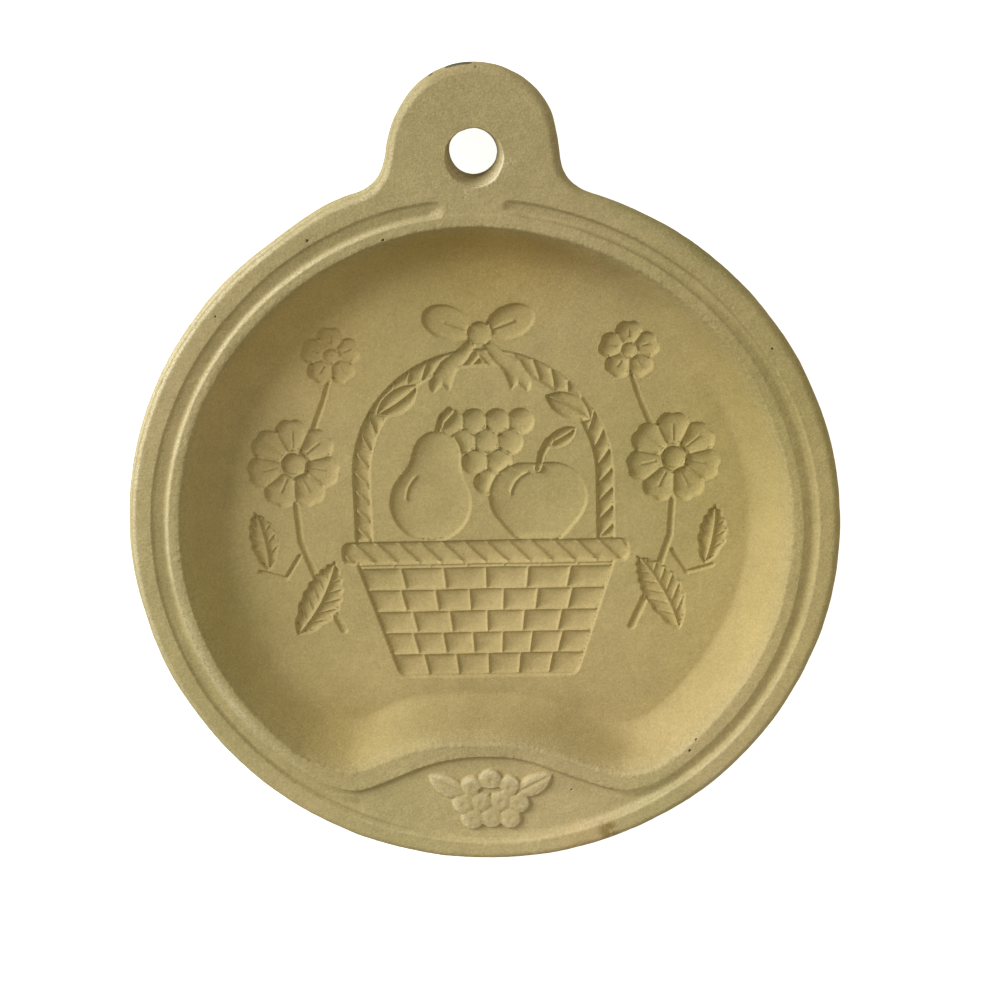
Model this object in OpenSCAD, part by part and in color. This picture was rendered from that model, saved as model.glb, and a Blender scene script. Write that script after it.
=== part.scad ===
// Cookie mould of pressed, unglazed stoneware.
// A round plate with a hanging tab, a groove inside its rim, a raised lip round
// a sloped hollow, a picture sunk in the hollow's floor, and a crescent panel
// with a small raised ornament below the hollow.
// It lies on its back, front face up, with the tab towards +Y.
// Millimetres. The origin is the centre of the round plate, on its back face.
// Every node is a region of the same clay, and meets its neighbours face to face.

/* [Plate] */
// Outside diameter of the round plate
disc_d = 132; // [130:1:140]
// Thickness from the back face to the top of the rim
thick = 12; // [11:0.5:14]
// How far the sides lean in from their widest line to the back
side_lean = 1.35; // [0.8:0.05:1.5]
// Depth of the hollow below the rim
hollow_depth = 8; // [6:0.5:8]

/* [Rim, groove and lip] */
// Width of the rim outside the groove
rim_w = 4.2; // [3.8:0.1:4.6]
// Width of the groove across its two sloped walls
groove_w = 3.4; // [2.8:0.1:3.8]
// Depth of the groove, and of the panel below the hollow
groove_depth = 1; // [0.8:0.1:1.6]
// Half of the angle left without a groove under the tab
groove_gap = 6.5; // [4:0.5:8]
// Width of the lip between the groove and the hollow's edge
lip_w = 1.2; // [0.8:0.1:1.6]
// Run of the hollow's curved wall, from its edge to its foot
wall_run = 8; // [7:0.1:8.2]

/* [Crescent panel] */
// Distance from the centre to the lip's lower edge, at the middle
crest = 43.9; // [43:0.1:46]
// How far the lip's lower edge falls from the middle to the corners
hump_rise = 6.9; // [6:0.1:7.2]
// Half of the width over which it falls
hump_half = 28; // [27:0.5:30]
// How much later it falls on the left than on the right
hump_lean = 1.35; // [1.1:0.05:1.5]
// Height of the raised ornament on the panel
ornament_h = 0.9; // [0.6:0.1:1]

/* [Hanging tab] */
// Width of the tab
tab_w = 30.2; // [28:0.2:34]
// How far the tab reaches past the plate's edge
tab_reach = 20; // [19:0.5:24]
// Radius of the hollow curves between the tab and the plate
neck_r = 8.5; // [6:0.5:9]
// Diameter of the hanging hole at its narrowest
hole_d = 8.4; // [7:0.1:10]
// Length of the hanging hole's straight middle part
hole_waist = 3; // [2:0.1:5]
// How far the centre of the hanging hole lies past the plate's edge
hole_reach = 3.8; // [3.5:0.1:5]
// How much wider the hanging hole is at the front, on each side
hole_flare = 0.95; // [0.4:0.05:1.2]

/* [Picture] */
// Depth of the picture below the hollow's floor
picture_depth = 1; // [0.8:0.1:1.1]
// Height of the ridges that stand up inside the picture
detail_h = 0.5; // [0.3:0.1:0.6]
// Width of those ridges
detail_w = 0.8; // [0.6:0.1:1]

/* [Hidden] */
$fn = 96;

clay = [0.72, 0.66, 0.47];
R = disc_d / 2;
floor_z = thick - hollow_depth;      // floor of the hollow
base_z = floor_z - 1.2;              // top of the back plate
bed_z = floor_z - picture_depth;     // bottom of the sunk picture
groove_z = thick - groove_depth;     // bottom of the groove
groove_out = R - rim_w;
groove_in = groove_out - groove_w;
seam_r = groove_out - 0.53 * groove_w;  // the rim and the lip meet in the groove
edge_r = groove_in - lip_w;          // edge of the hollow, at the top
foot_r = edge_r - wall_run;          // foot of the hollow's wall
tab_r = R - 3;                       // the tab starts inside the rim's width
hole_y = R + hole_reach;
hole_z = 3.4;                        // bottom of the hole's straight part

// Rounded edges as [inset, height]: two at the back, four at the front
EDGE = [[side_lean + 0.9, 0], [side_lean, 0.9], [0, thick - 2.2], [0.3, thick - 1],
        [0.9, thick - 0.3], [1.8, thick]];
// How far the side lies inside its widest line at height z
function side_in(z) = side_lean * (thick - 2.2 - z) / (thick - 3.1);

// --- the hollow -------------------------------------------------------------
// Distance below the centre of a lip line that is c at the middle
function hump(c, x) = c + (x < 0 ? hump_rise : hump_rise + 0.4) * (1 - cos(180 * pow(min(abs(x), hump_half) / hump_half, x < 0 ? hump_lean : 1.05))) / 2;
// The same line, as a distance from the centre in direction t
function hump_r(c, t, n = 8) = n == 0 ? c : let(r = hump_r(c, t, n - 1)) hump(c, r * cos(t)) / -sin(t);
// The hollow's outline: a circle cut by the lip line
function hollow_r(rc, c, t) = -sin(t) < 0.6 ? rc : min(rc, hump_r(c, t));
HOLLOW_N = 120;
function hollow_ring(rc, c) = [for (i = [0:HOLLOW_N - 1]) let(t = 360 * i / HOLLOW_N, r = hollow_r(rc, c, t)) [r * cos(t), r * sin(t)]];

foot_c = crest - 1.6 - wall_run;
// The wall's curve as [way out from the foot, height], each from 0 to 1
WALL = [[0, 0], [0.16, 0.045], [0.35, 0.165], [0.53, 0.355], [0.7, 0.585], [0.84, 0.795]];
// Levels of the hollow as [height, radius of the circle, middle of the lip line]
LEVELS = concat([[base_z - 0.5, foot_r, foot_c]],
    [for (w = WALL) [floor_z + w[1] * hollow_depth, foot_r + w[0] * wall_run, foot_c + w[0] * wall_run]],
    [[thick - 0.3, edge_r - 0.4, crest - 2], [thick + 0.2, edge_r + 0.25, crest - 1.35]]);

module loft(rings, heights) {
    n = len(rings[0]);
    m = len(rings);
    pts = [for (k = [0:m - 1]) for (p = rings[k]) [p[0], p[1], heights[k]]];
    sides = [for (k = [0:m - 2]) for (i = [0:n - 1]) let(a = k * n + i, b = k * n + (i + 1) % n) each [[a, a + n, b + n], [a, b + n, b]]];
    polyhedron(points = pts, faces = concat([[for (i = [0:n - 1]) i]], sides, [[for (i = [n - 1:-1:0]) (m - 1) * n + i]]), convexity = 6);
}

module hollow() { loft([for (l = LEVELS) hollow_ring(l[1], l[2])], [for (l = LEVELS) l[0]]); }

// Everything below the lip's lower edge
module below_lip_2d() {
    w = hump_half + 0.6;
    polygon(concat([for (i = [-24:24]) let(x = w * i / 24) [x, -hump(crest, x)]], [[w, -R - 5], [-w, -R - 5]]));
}

// The groove: two sloped walls, left out under the tab
module groove() {
    rotate([0, 0, 90 + groove_gap]) rotate_extrude(angle = 360 - 2 * groove_gap)
        polygon([[seam_r - 0.2, groove_z], [seam_r + 0.2, groove_z],
                 [groove_out + 0.37, thick + 0.3], [groove_in - 0.32, thick + 0.3]]);
}

// --- the tab ----------------------------------------------------------------
tr = tab_w / 2;
fx = tr + neck_r;
fy = sqrt((R + neck_r) * (R + neck_r) - fx * fx);
spread = atan(fx / fy);               // half of the angle the tab takes of the rim
ty = max(fy + 0.2, R + tab_reach - tr);
TAB_ARC = [for (k = [0:16]) let(t = 90 + spread - 2 * spread * k / 16) [tab_r * cos(t), tab_r * sin(t)]];

// Half of the tab's cross-section: its half width is w where it isn't rounded
function tab_half(w) = concat([[0, 0]], [for (e = EDGE) [w - e[0], e[1]]], [[0, thick]]);

// The round end, the straight sides, and the part between the two neck curves
module tab_body() {
    translate([0, ty, 0]) rotate_extrude(angle = 180) polygon(tab_half(tr));
    translate([0, ty, 0]) rotate([90, 0, 0]) linear_extrude(ty - fy)
        polygon(concat([for (e = EDGE) [tr - e[0], e[1]]], [for (i = [5:-1:0]) [EDGE[i][0] - tr, EDGE[i][1]]]));
    difference() {
        linear_extrude(thick) polygon(concat(TAB_ARC, [for (p = [[fx, 0], [0.8 * tr, 0], [0.8 * tr, 3], [0.46 * tr, 3], [0.46 * tr, 0]]) [p[0], fy + p[1]]],
                                             [for (p = [[0.46 * tr, 0], [0.46 * tr, 3], [0.8 * tr, 3], [0.8 * tr, 0], [fx, 0]]) [-p[0], fy + p[1]]]));
        for (m = [-1, 1]) translate([m * fx, fy, 0]) rotate_extrude()
            polygon(concat([[0, -1], [neck_r + EDGE[0][0] + 1, -1]], [for (e = EDGE) [neck_r + e[0], e[1]]], [[neck_r + 2.8, thick + 1], [0, thick + 1]]));
    }
}

// The tab's share of the plate, taken out of the nodes beside it
module tab_share() {
    translate([0, 0, -1]) linear_extrude(thick + 2)
        polygon(concat(TAB_ARC, [[120 * sin(spread), 120 * cos(spread)], [-120 * sin(spread), 120 * cos(spread)]]));
}

// --- the picture's motifs, flat ----------------------------------------------
basket_top = -8;
basket_low = -31;
function basket_half(y) = 17 + 7.5 * (y - basket_low) / (basket_top - basket_low);
row_h = 4.35;                         // height of a row of canes
APPLE = [10.2, 4.6];
PEAR = [-10, 4];
grape_r = 2.6;
function grape(row, i) = [0.8 + (i - row / 2) * 4.3, 7.9 + 3.9 * row];
BLOSSOMS = [[-35.5, 12], [35.5, 12]];
BUDS = [[-27.5, 32.5], [27.5, 32.5]];
BOW = [0, 36.2];
handle_y = 9;
handle_r = 22.8;                      // middle of the handle
handle_w = 3.5;
quarter = handle_r * PI / 2;
// A point on the handle: s along its middle from the top, q outwards, on side m
function rope(m, s, q) = s < quarter ? let(a = 90 * s / quarter) [m * (handle_r + q) * sin(a), handle_y + (handle_r + q) * cos(a)]
    : [m * (handle_r + q), handle_y - s + quarter];

// A straight ridge from a to b
module bar(a, b, w = detail_w) {
    translate(a) rotate(atan2(b[1] - a[1], b[0] - a[0])) translate([0, -w / 2]) square([norm(b - a), w]);
}

// A curved ridge round c, from angle a to angle b, which lie less than 90 degrees apart
module arc_bar(c, r, a, b, w = detail_w) {
    translate(c) intersection() {
        difference() { circle(r + w / 2); circle(r - w / 2); }
        polygon([[0, 0], [2 * r * cos(a), 2 * r * sin(a)], [2 * r * cos(b), 2 * r * sin(b)]]);
    }
}

// A leaf of length l and width w along X
module leaf_2d(l, w) {
    q = (l * l / 4 + w * w / 4) / w;
    intersection() {
        translate([0, q - w / 2]) circle(q);
        translate([0, w / 2 - q]) circle(q);
    }
}

// A flower with n petals of radius rp, their centres at distance d
module flower_2d(n, rp, d, rc) {
    for (i = [0:n - 1]) rotate(90 + 360 * i / n) translate([d, 0]) circle(rp);
    circle(rc);
}

module basket_2d(s = 0) {
    polygon([[-basket_half(basket_top) + s, basket_top + 0.6], [-basket_half(basket_low) + s, basket_low + s],
             [basket_half(basket_low) - s, basket_low + s], [basket_half(basket_top) - s, basket_top + 0.6]]);
}

module basket_band_2d(s = 0) { translate([-27.2 + s, basket_top - 0.05 + s]) square([54.4 - 2 * s, 4.7 - 2 * s]); }

module handle_2d(s = 0) {
    difference() {
        translate([0, handle_y]) circle(handle_r + handle_w / 2 - s);
        translate([0, handle_y]) circle(handle_r - handle_w / 2 + s);
        translate([-40, handle_y - 60]) square([80, 60]);
    }
    for (m = [-1, 1]) translate([m * handle_r - handle_w / 2 + s, basket_top + 3]) square([handle_w - 2 * s, handle_y - basket_top - 2.5]);
}

module fruit_2d() {
    translate([7.7, 4.9]) circle(6.7);
    translate([12.8, 4.9]) circle(6.7);
    translate([10.2, 1.6]) circle(6.6);
    bar([10.3, 10], [12, 15.4], 1.3);
    translate(PEAR) circle(7.7);
    translate([-8.5, 13.6]) circle(4.4);
    translate([-12.1, 9.6]) circle(4.4);
    translate([-6.2, 9.6]) circle(4.4);
    bar([-8.3, 17], [-6.4, 21.4], 1.4);
    for (row = [0:3]) for (i = [0:row]) translate(grape(row, i)) circle(grape_r);
}

LEAVES = [[-32.5, -14.5, 62, 17, 7.4], [32.5, -14.5, 118, 17, 7.4], [-42.3, -3, 100, 12, 5.4], [42.3, -3, 80, 12, 5.4],
          [-15.5, 24, 35, 9.5, 4.6], [16, 22, 150, 9.5, 4.6], [14.6, 16.4, 30, 7, 3.4]];

module leaves_2d() {
    for (l = LEAVES) translate([l[0], l[1]]) rotate(l[2]) leaf_2d(l[3], l[4]);
}

module stems_2d() {
    for (m = [-1, 1]) {
        polygon([[m * 34.6, 6], [m * 36.2, 6], [m * 35.4, -5], [m * 28, -21.5], [m * 26.8, -20.6], [m * 33.6, -4.6]]);
        polygon([[m * 27, 28.5], [m * 28.3, 28.5], [m * 31.6, 19], [m * 30.5, 18.2]]);
    }
}

module bow_2d() {
    translate(BOW) {
        circle(2.5);
        for (m = [-1, 1]) {
            translate([m * 4.7, 1.9]) circle(3);
            translate([m * 7, 2.7]) circle(3.1);
            polygon([[m * 0.4, -1.4], [m * 4, 4.6], [m * 5.6, -0.6]]);
            polygon([[m * 0.2, -0.4], [m * 6.3, -8.2], [m * 9.2, -5.6], [m * 1.6, 1.2]]);
        }
    }
}

module blossoms_2d() {
    for (b = BLOSSOMS) translate(b) flower_2d(7, 3.3, 5.6, 4);
    for (b = BUDS) translate(b) flower_2d(5, 2.5, 3.3, 2.4);
}

module sunk(z0 = bed_z) { translate([0, 0, z0]) linear_extrude(floor_z - z0 + 0.5) children(); }
module raised(h = detail_h) { translate([0, 0, bed_z]) linear_extrude(h) children(); }

// --- nodes ------------------------------------------------------------------
module back_plate() {
    color(clay) difference() {
        rotate_extrude() polygon([[0, 0], [R - EDGE[0][0], 0], [R - EDGE[1][0], EDGE[1][1]], [R - side_in(base_z), base_z], [0, base_z]]);
        tab_share();
    }
}

module outer_rim() {
    color(clay) difference() {
        rotate_extrude() polygon(concat([[seam_r, base_z], [R - side_in(base_z), base_z]], [for (i = [2:5]) [R - EDGE[i][0], EDGE[i][1]]], [[seam_r, thick]]));
        groove();
        tab_share();
    }
}

module inner_lip() {
    color(clay) difference() {
        translate([0, 0, base_z]) cylinder(r = seam_r, h = thick - base_z);
        hollow();
        groove();
        translate([0, 0, base_z - 1]) linear_extrude(thick) below_lip_2d();
    }
}

module lower_panel() {
    color(clay) intersection() {
        translate([0, 0, base_z]) cylinder(r = seam_r, h = groove_z - base_z);
        translate([0, 0, base_z - 1]) linear_extrude(thick) below_lip_2d();
    }
}

module picture_floor() {
    color(clay) difference() {
        translate([0, 0, base_z]) linear_extrude(floor_z - base_z) polygon(hollow_ring(foot_r, foot_c));
        sunk() { basket_2d(); basket_band_2d(); }
        sunk() handle_2d();
        sunk() fruit_2d();
        sunk() blossoms_2d();
        sunk() { leaves_2d(); stems_2d(); }
        sunk() bow_2d();
    }
}

module hanging_tab() {
    color(clay) difference() {
        tab_body();
        translate([0, hole_y, -1]) cylinder(d = hole_d, h = thick + 2);
        translate([0, hole_y, hole_z + hole_waist]) cylinder(d1 = hole_d, d2 = hole_d + 3 * hole_flare, h = 1.5 * (thick - hole_z - hole_waist));
        translate([0, hole_y, -hole_z]) cylinder(d1 = hole_d + 2.6, d2 = hole_d, h = 2 * hole_z);
    }
}

// The ridges between the basket's canes, and across its band
module basket_relief() {
    color(clay) raised() {
        for (k = [1:4]) let(y = basket_low + 0.5 + row_h * k, h = basket_half(y) - 0.5) bar([-h, y], [h, y]);
        for (k = [0:4]) for (i = [1:5 + k % 2]) let(y = basket_low + 0.5 + row_h * k, f = 2 * i / (6 + k % 2) - 1)
            bar([f * basket_half(y), y], [f * basket_half(y + row_h), min(y + row_h, basket_top - 0.4)]);
        for (j = [-6:5]) bar([4.2 * j + 4.1, basket_top + 0.4], [4.2 * j + 0.1, basket_top + 4.2]);
    }
}

// The ridges between the handle's strands, and those of the bow
module handle_relief() {
    color(clay) raised() {
        for (m = [-1, 1]) for (j = [3:13]) bar(rope(m, 3.6 * j + 1.2, -1.2), rope(m, 3.6 * j - 1.2, 1.2));
        translate(BOW) {
            difference() { circle(2.6); circle(1.9); }
            for (m = [-1, 1]) bar([m * 2.4, 0.8], [m * 6.6, 2.3]);
        }
    }
}

// The ridges between the grapes, and the highlights of apple and pear
module fruit_relief() {
    color(clay) raised() {
        arc_bar(APPLE, 5.2, 109, 172);
        arc_bar([-8.6, 4.6], 6, 132, 188);
        for (row = [2:3]) for (i = [0:row - 1]) let(c = grape(row, i) + [2.15, 0]) bar(c - [0, 1.2], c + [0, 1.2]);
        for (row = [2:3]) for (i = [0:row - 1]) for (m = [0, 1]) let(c = (grape(row, i + m) + grape(row - 1, i)) / 2, d = [0.9, m == 0 ? 0.5 : -0.5])
            bar(c - 1.2 * d, c + 1.2 * d);
    }
}

// The ridges round each core, between the petals, and along them
module flower_ridges_2d(n, rc, r1, v0, v1) {
    difference() { circle(rc + detail_w / 2); circle(rc - detail_w / 2); }
    for (i = [0:n - 1]) {
        let(a = 90 + 360 * (i + 0.5) / n) bar([rc * cos(a), rc * sin(a)], [r1 * cos(a), r1 * sin(a)]);
        let(a = 90 + 360 * i / n) bar([v0 * cos(a), v0 * sin(a)], [v1 * cos(a), v1 * sin(a)], 0.6 * detail_w);
    }
}

module blossom_relief() {
    color(clay) raised() {
        for (b = BLOSSOMS) translate(b) flower_ridges_2d(7, 2.3, 5.6, 3.4, 6.2);
        for (b = BUDS) translate(b) flower_ridges_2d(5, 1.5, 3.2, 2.5, 3.8);
    }
}

// A midrib in each leaf, and veins in the large ones
module leaf_relief() {
    color(clay) raised() {
        for (l = LEAVES) translate([l[0], l[1]]) rotate(l[2]) bar([-l[3] * 0.34, 0], [l[3] * 0.34, 0]);
        for (k = [0:3]) let(l = LEAVES[k]) translate([l[0], l[1]]) rotate(l[2])
            for (u = [-l[3] * 0.24:2.3:l[3] * 0.24]) for (m = [-1, 1]) bar([u, 0], [u + 0.24 * l[4], m * 0.27 * l[4]], 0.7 * detail_w);
    }
}

// A spray of berries between two leaves, standing on the panel
module ornament() {
    berries = [[0, -49.2], [3.6, -50.6], [-3.6, -50.6], [1.9, -53.6], [-1.9, -53.6], [5.2, -54], [-5.2, -54], [0, -57], [3.6, -57.2], [-3.6, -57.2]];
    color(clay) translate([0, 0, groove_z]) linear_extrude(ornament_h) union() {
        for (b = berries) translate(b) circle(2.35);
        for (m = [-1, 1]) translate([m * 8, -50.2]) rotate(m * 28) leaf_2d(9, 4.4);
        translate([-5, -52]) square([10, 2.2]);
    }
}

back_plate();
outer_rim();
inner_lip();
lower_panel();
picture_floor();
hanging_tab();
basket_relief();
handle_relief();
fruit_relief();
blossom_relief();
leaf_relief();
ornament();
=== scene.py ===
import math
import bpy
import numpy as np
from mathutils import Matrix, Vector
from mathutils.geometry import delaunay_2d_cdt


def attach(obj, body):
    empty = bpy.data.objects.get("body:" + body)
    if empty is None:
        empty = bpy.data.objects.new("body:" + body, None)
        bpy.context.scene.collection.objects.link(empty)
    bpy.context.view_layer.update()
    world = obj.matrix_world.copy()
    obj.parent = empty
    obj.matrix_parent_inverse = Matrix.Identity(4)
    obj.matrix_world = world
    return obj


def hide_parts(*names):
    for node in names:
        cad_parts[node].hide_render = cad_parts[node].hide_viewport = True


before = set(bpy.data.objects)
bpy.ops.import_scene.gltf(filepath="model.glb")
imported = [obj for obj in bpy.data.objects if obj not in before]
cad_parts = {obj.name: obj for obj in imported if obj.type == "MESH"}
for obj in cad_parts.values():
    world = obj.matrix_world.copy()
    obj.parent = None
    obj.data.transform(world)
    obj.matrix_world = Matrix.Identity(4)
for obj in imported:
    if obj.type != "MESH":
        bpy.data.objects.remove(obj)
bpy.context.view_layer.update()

# The clay is one skin, worked out here in millimetres and divided into the same
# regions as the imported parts. +Z is out of the front face, +Y towards the tab.
MM = 0.001

# ---------------------------------------------------------------- camera
scene = bpy.context.scene
cam_data = bpy.data.cameras.new("camera")
cam_data.sensor_fit = "HORIZONTAL"
cam_data.sensor_width = 36.0
cam_data.lens = 79.2
cam_data.clip_start = 0.01
cam_data.clip_end = 20.0
cam = bpy.data.objects.new("camera", cam_data)
scene.collection.objects.link(cam)
TURN = Matrix.Rotation(math.radians(-0.3), 3, "Z")
view_dir = (TURN @ Vector((-0.032952, -0.282796, -0.958614))).normalized()
view_up = (TURN @ Vector((0.013082, 0.958931, -0.283339))).normalized()
view_at = TURN @ Vector((0.016619, 0.121083, 0.399411))
view_right = view_dir.cross(view_up).normalized()
view_up = view_right.cross(view_dir).normalized()
cam.matrix_world = Matrix((
    (view_right.x, view_up.x, -view_dir.x, view_at.x),
    (view_right.y, view_up.y, -view_dir.y, view_at.y),
    (view_right.z, view_up.z, -view_dir.z, view_at.z),
    (0.0, 0.0, 0.0, 1.0)))
scene.camera = cam

# ---------------------------------------------------------------- sizes, mm
R = 66.0            # plate
TOP = 12.0          # top of the rim
FLOOR = 4.0         # floor of the hollow
BASE = 2.8          # top of the back plate
GROOVE = 1.0        # depth of the panel; the groove is a little shallower
GROOVE_OUT = 61.72
LIP_OUT = 58.35
SEAM = 59.998       # the rim and the lip meet in the groove
EDGE = 56.95        # edge of the hollow
TR, TY, NECK = 15.1, 70.9, 8.5      # tab
FX = TR + NECK
FY = math.sqrt((R + NECK) ** 2 - FX ** 2)
SPREAD = math.atan2(FX, FY)
TAB_R = 63.0
HOLE_Y, HOLE_R, HOLE_FLARE, HOLE_BACK = 69.8, 4.2, 1.0, 0.75
INSET = 1.75        # width of the rounded front edge
LEAN = 1.35         # the sides lean in towards the back
BACK_INSET = LEAN + 1.0


def sst(t):
    t = np.clip(t, 0.0, 1.0)
    return t * t * (3.0 - 2.0 * t)


def smin(a, b, k):
    h = np.clip(0.5 + 0.5 * (b - a) / k, 0.0, 1.0)
    return b * (1 - h) + a * h - k * h * (1 - h)


def smax(a, b, k):
    return -smin(-a, -b, k)


def circ(x, y, cx, cy, r):
    return r - np.hypot(x - cx, y - cy)


def stroke(x, y, pts, r0, r1):
    """Distance inside a tapering brush stroke along pts; it tapers with the distance along it."""
    best = np.full(x.shape, -1e9)
    lens = [0.0]
    for (ax, ay), (bx, by) in zip(pts[:-1], pts[1:]):
        lens.append(lens[-1] + math.hypot(bx - ax, by - ay))
    for i, ((ax, ay), (bx, by)) in enumerate(zip(pts[:-1], pts[1:])):
        dx, dy = bx - ax, by - ay
        t = np.clip(((x - ax) * dx + (y - ay) * dy) / (dx * dx + dy * dy), 0, 1)
        s = (lens[i] + t * (lens[i + 1] - lens[i])) / lens[-1]
        best = np.maximum(best, r0 + (r1 - r0) * s - np.hypot(x - ax - t * dx, y - ay - t * dy))
    return best


# ---------------------------------------------------------------- the mould's form
def outline_in(x, y):
    """Distance inside the outline of plate and tab, good near the edge."""
    ax = np.abs(x)
    disc = R - np.hypot(x, y)
    neck = np.hypot(ax - FX, y - FY) - NECK
    end = TR - np.hypot(x, np.maximum(y - TY, 0.0))
    out = np.where(y >= FY, end, neck)
    return np.where((np.arctan2(ax, y) > SPREAD) | (y < 20), disc, out)


def bump_at(th, deg, half):
    """A soft bump from 0 to 1 round one direction."""
    d = np.degrees(np.arctan2(np.sin(th - math.radians(deg)), np.cos(th - math.radians(deg))))
    return np.exp(-(d / half) ** 2)


def out_of_round(x, y):
    """The rings lie a little further out beside the tab: the press wasn't quite round."""
    return 0.68 * bump_at(np.arctan2(y, x), 97, 27)


LIP_AT = [0, 30, 60, 85, 110, 135, 160, 180, 200, 230, 270, 315, 340, 360]
LIP_BY = [0.30, 0.34, 0.50, 0.32, 0.12, 0.02, -0.12, 0.10, 0.42, 0.30, 0.20, 0.24, 0.30, 0.30]


def lip_wide(x, y):
    """The lip is a little wider on the right and at the lower left."""
    return np.interp(np.mod(np.degrees(np.arctan2(y, x)), 360.0), LIP_AT, LIP_BY)


def hump(x):
    """Height of the lip's lower line, and its slope. It falls later on the left."""
    t = np.clip(np.abs(x) / 28.0, 1e-6, 1.0)
    left = x < 0
    p = np.where(left, 1.35, 1.05)
    rise = np.where(left, 6.9, 7.3)
    return -(43.9 + rise * (1 - np.cos(np.pi * t ** p)) / 2)


def hump_in(x, y):
    e = 0.05
    slope = (hump(x + e) - hump(x - e)) / (2 * e)
    return (y - hump(x)) / np.sqrt(1 + slope * slope)


def lip_in(x, y):
    return smin(LIP_OUT + out_of_round(x, y) + lip_wide(x, y) - np.hypot(x, y), hump_in(x, y), 3.0)


def hollow_in(x, y):
    r = np.hypot(x, y)
    th = np.arctan2(y, x)
    wide = 2.1 + 1.4 * sst(-x / 20.0) + 0.4 * sst(x / 22.0)
    wob = 0.10 * np.sin(3 * th + 0.6) + 0.07 * np.sin(7 * th + 2.0) + 0.05 * np.sin(12 * th)
    k = 3.0 + 1.5 * sst((-x + 5) / 20.0)
    return smin(EDGE - 0.04 * bump_at(th, 92, 20) + wob + out_of_round(x, y) - r, hump_in(x, y) - wide, k)


FOOT = 7.6          # how far in from its edge the hollow's floor starts


def form(x, y):
    """Height of the front face without the picture and the ornament."""
    r = np.hypot(x, y)
    th = np.arctan2(y, x)
    # groove and panel, one channel
    away = r * np.abs(np.arctan2(np.sin(th - np.pi / 2), np.cos(th - np.pi / 2)))
    wob = 0.09 * np.sin(4 * th + 1.0) + 0.06 * np.sin(9 * th + 0.3) + 0.05 * np.sin(17 * th + 2.2)
    shift = 0.50 * bump_at(th, 315, 56) - 0.22 * bump_at(th, 148, 50) + 0.16 * bump_at(th, 246, 14)
    g_out = GROOVE_OUT + out_of_round(x, y) + shift + 0.35 * bump_at(th, 272, 10) + 0.7 * wob - r
    lip = lip_in(x, y)
    g_in = -lip + 0.5 * wob - np.maximum(shift, 0) * sst((-lip + 0.2) / 0.5)
    step = sst(((LIP_OUT - r) - hump_in(x, y) - 0.5) / 3.0)
    # outer side: a small steep step, then a gentle slope down to the seam
    low_r, up_r = bump_at(th, 316, 44), bump_at(th, 28, 34)
    jump = 0.36 + 0.12 * bump_at(th, 235, 38) + 0.06 * up_r + 0.10 * low_r
    f_out = jump * (1 - (1 - np.clip(g_out / (0.46 + 0.62 * low_r), 0, 1)) ** 1.3) + 0.27 * np.maximum(g_out - 0.3, 0.0)
    # under the panel the step is short, and to its right it is one plain slope
    f_out = f_out + (0.84 * np.clip(g_out, 0, 1.0) + 0.05 * np.maximum(g_out - 1.0, 0.0) - f_out) * bump_at(th, 269, 9)
    f_out = f_out + (0.68 * np.maximum(g_out, 0.0) - f_out) * bump_at(th, 293, 14)
    # inner side: steep below the lip, then turning flat; shallow at the lower left
    deep = 0.86 - 0.46 * bump_at(th, 226, 22) * (1 - step)
    deep = deep + (GROOVE - deep) * np.maximum(step, sst((g_in - 1.6) / 1.5))
    run = 1.16 - 0.3 * step + (1.05 * low_r + 1.35 * up_r - 0.16 * bump_at(th, 150, 34)) * (1 - step)
    curl = 2.1 - 0.5 * step - (0.85 * bump_at(th, 322, 56) + 0.80 * up_r) * (1 - step)
    # the groove runs out beside the tab in a rounded end
    tail = 1 - sst((away - 6.0) / 4.5)
    f_in = deep * (1 - (1 - np.clip((g_in - 0.9 * tail * (x > 0)) / run, 0, 1)) ** np.maximum(curl, 1.15))
    far = np.hypot(np.maximum(7.1 - away, 0.0), 0.9 * (r - 60.5) * (1 - sst((away - 6.4) / 2.0)))
    f_end = 0.55 * (1.95 - far) + 0.5 * np.maximum(away - 7.1, 0.0)
    chan = smin(f_out, f_in, 0.09)
    chan = smin(chan, f_end, 0.42)
    chan = smin(chan, GROOVE, 0.08)
    chan = np.clip(smax(chan - 0.02, 0.0, 0.05) - 0.0125, 0.0, GROOVE)
    # the hollow
    h = hollow_in(x, y)
    turn_ = np.cos(th - math.radians(115))
    width = 8.0 + 0.5 * turn_
    power = 1.72 + 0.38 * turn_
    crisp = 0.22 + 0.26 * bump_at(th, 290, 50) + 0.16 * bump_at(th, 30, 60) 
    worn = bump_at(th, 152, 56) * (1 - step)
    g = np.maximum(smax(h - 0.12 - 0.55 * worn, 0.0, crisp), 0.0)
    d = (TOP - FLOOR) * (1 - np.maximum(1 - g / width, 0.0) ** power)
    d = d + 0.21 * worn * np.clip(h + 0.35, 0, 1.25) ** 2 * (1 - d / (TOP - FLOOR))
    d = smin(d, TOP - FLOOR, 0.25)
    d = np.where(h < -1.0, 0.0, d)
    # the lip is a little lower than the rim at its inner shoulder
    soft = 0.045 * sst((EDGE + 1.0 - r) / 1.4) * sst((r - 50) / 3)
    return TOP - chan - d - soft


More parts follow.
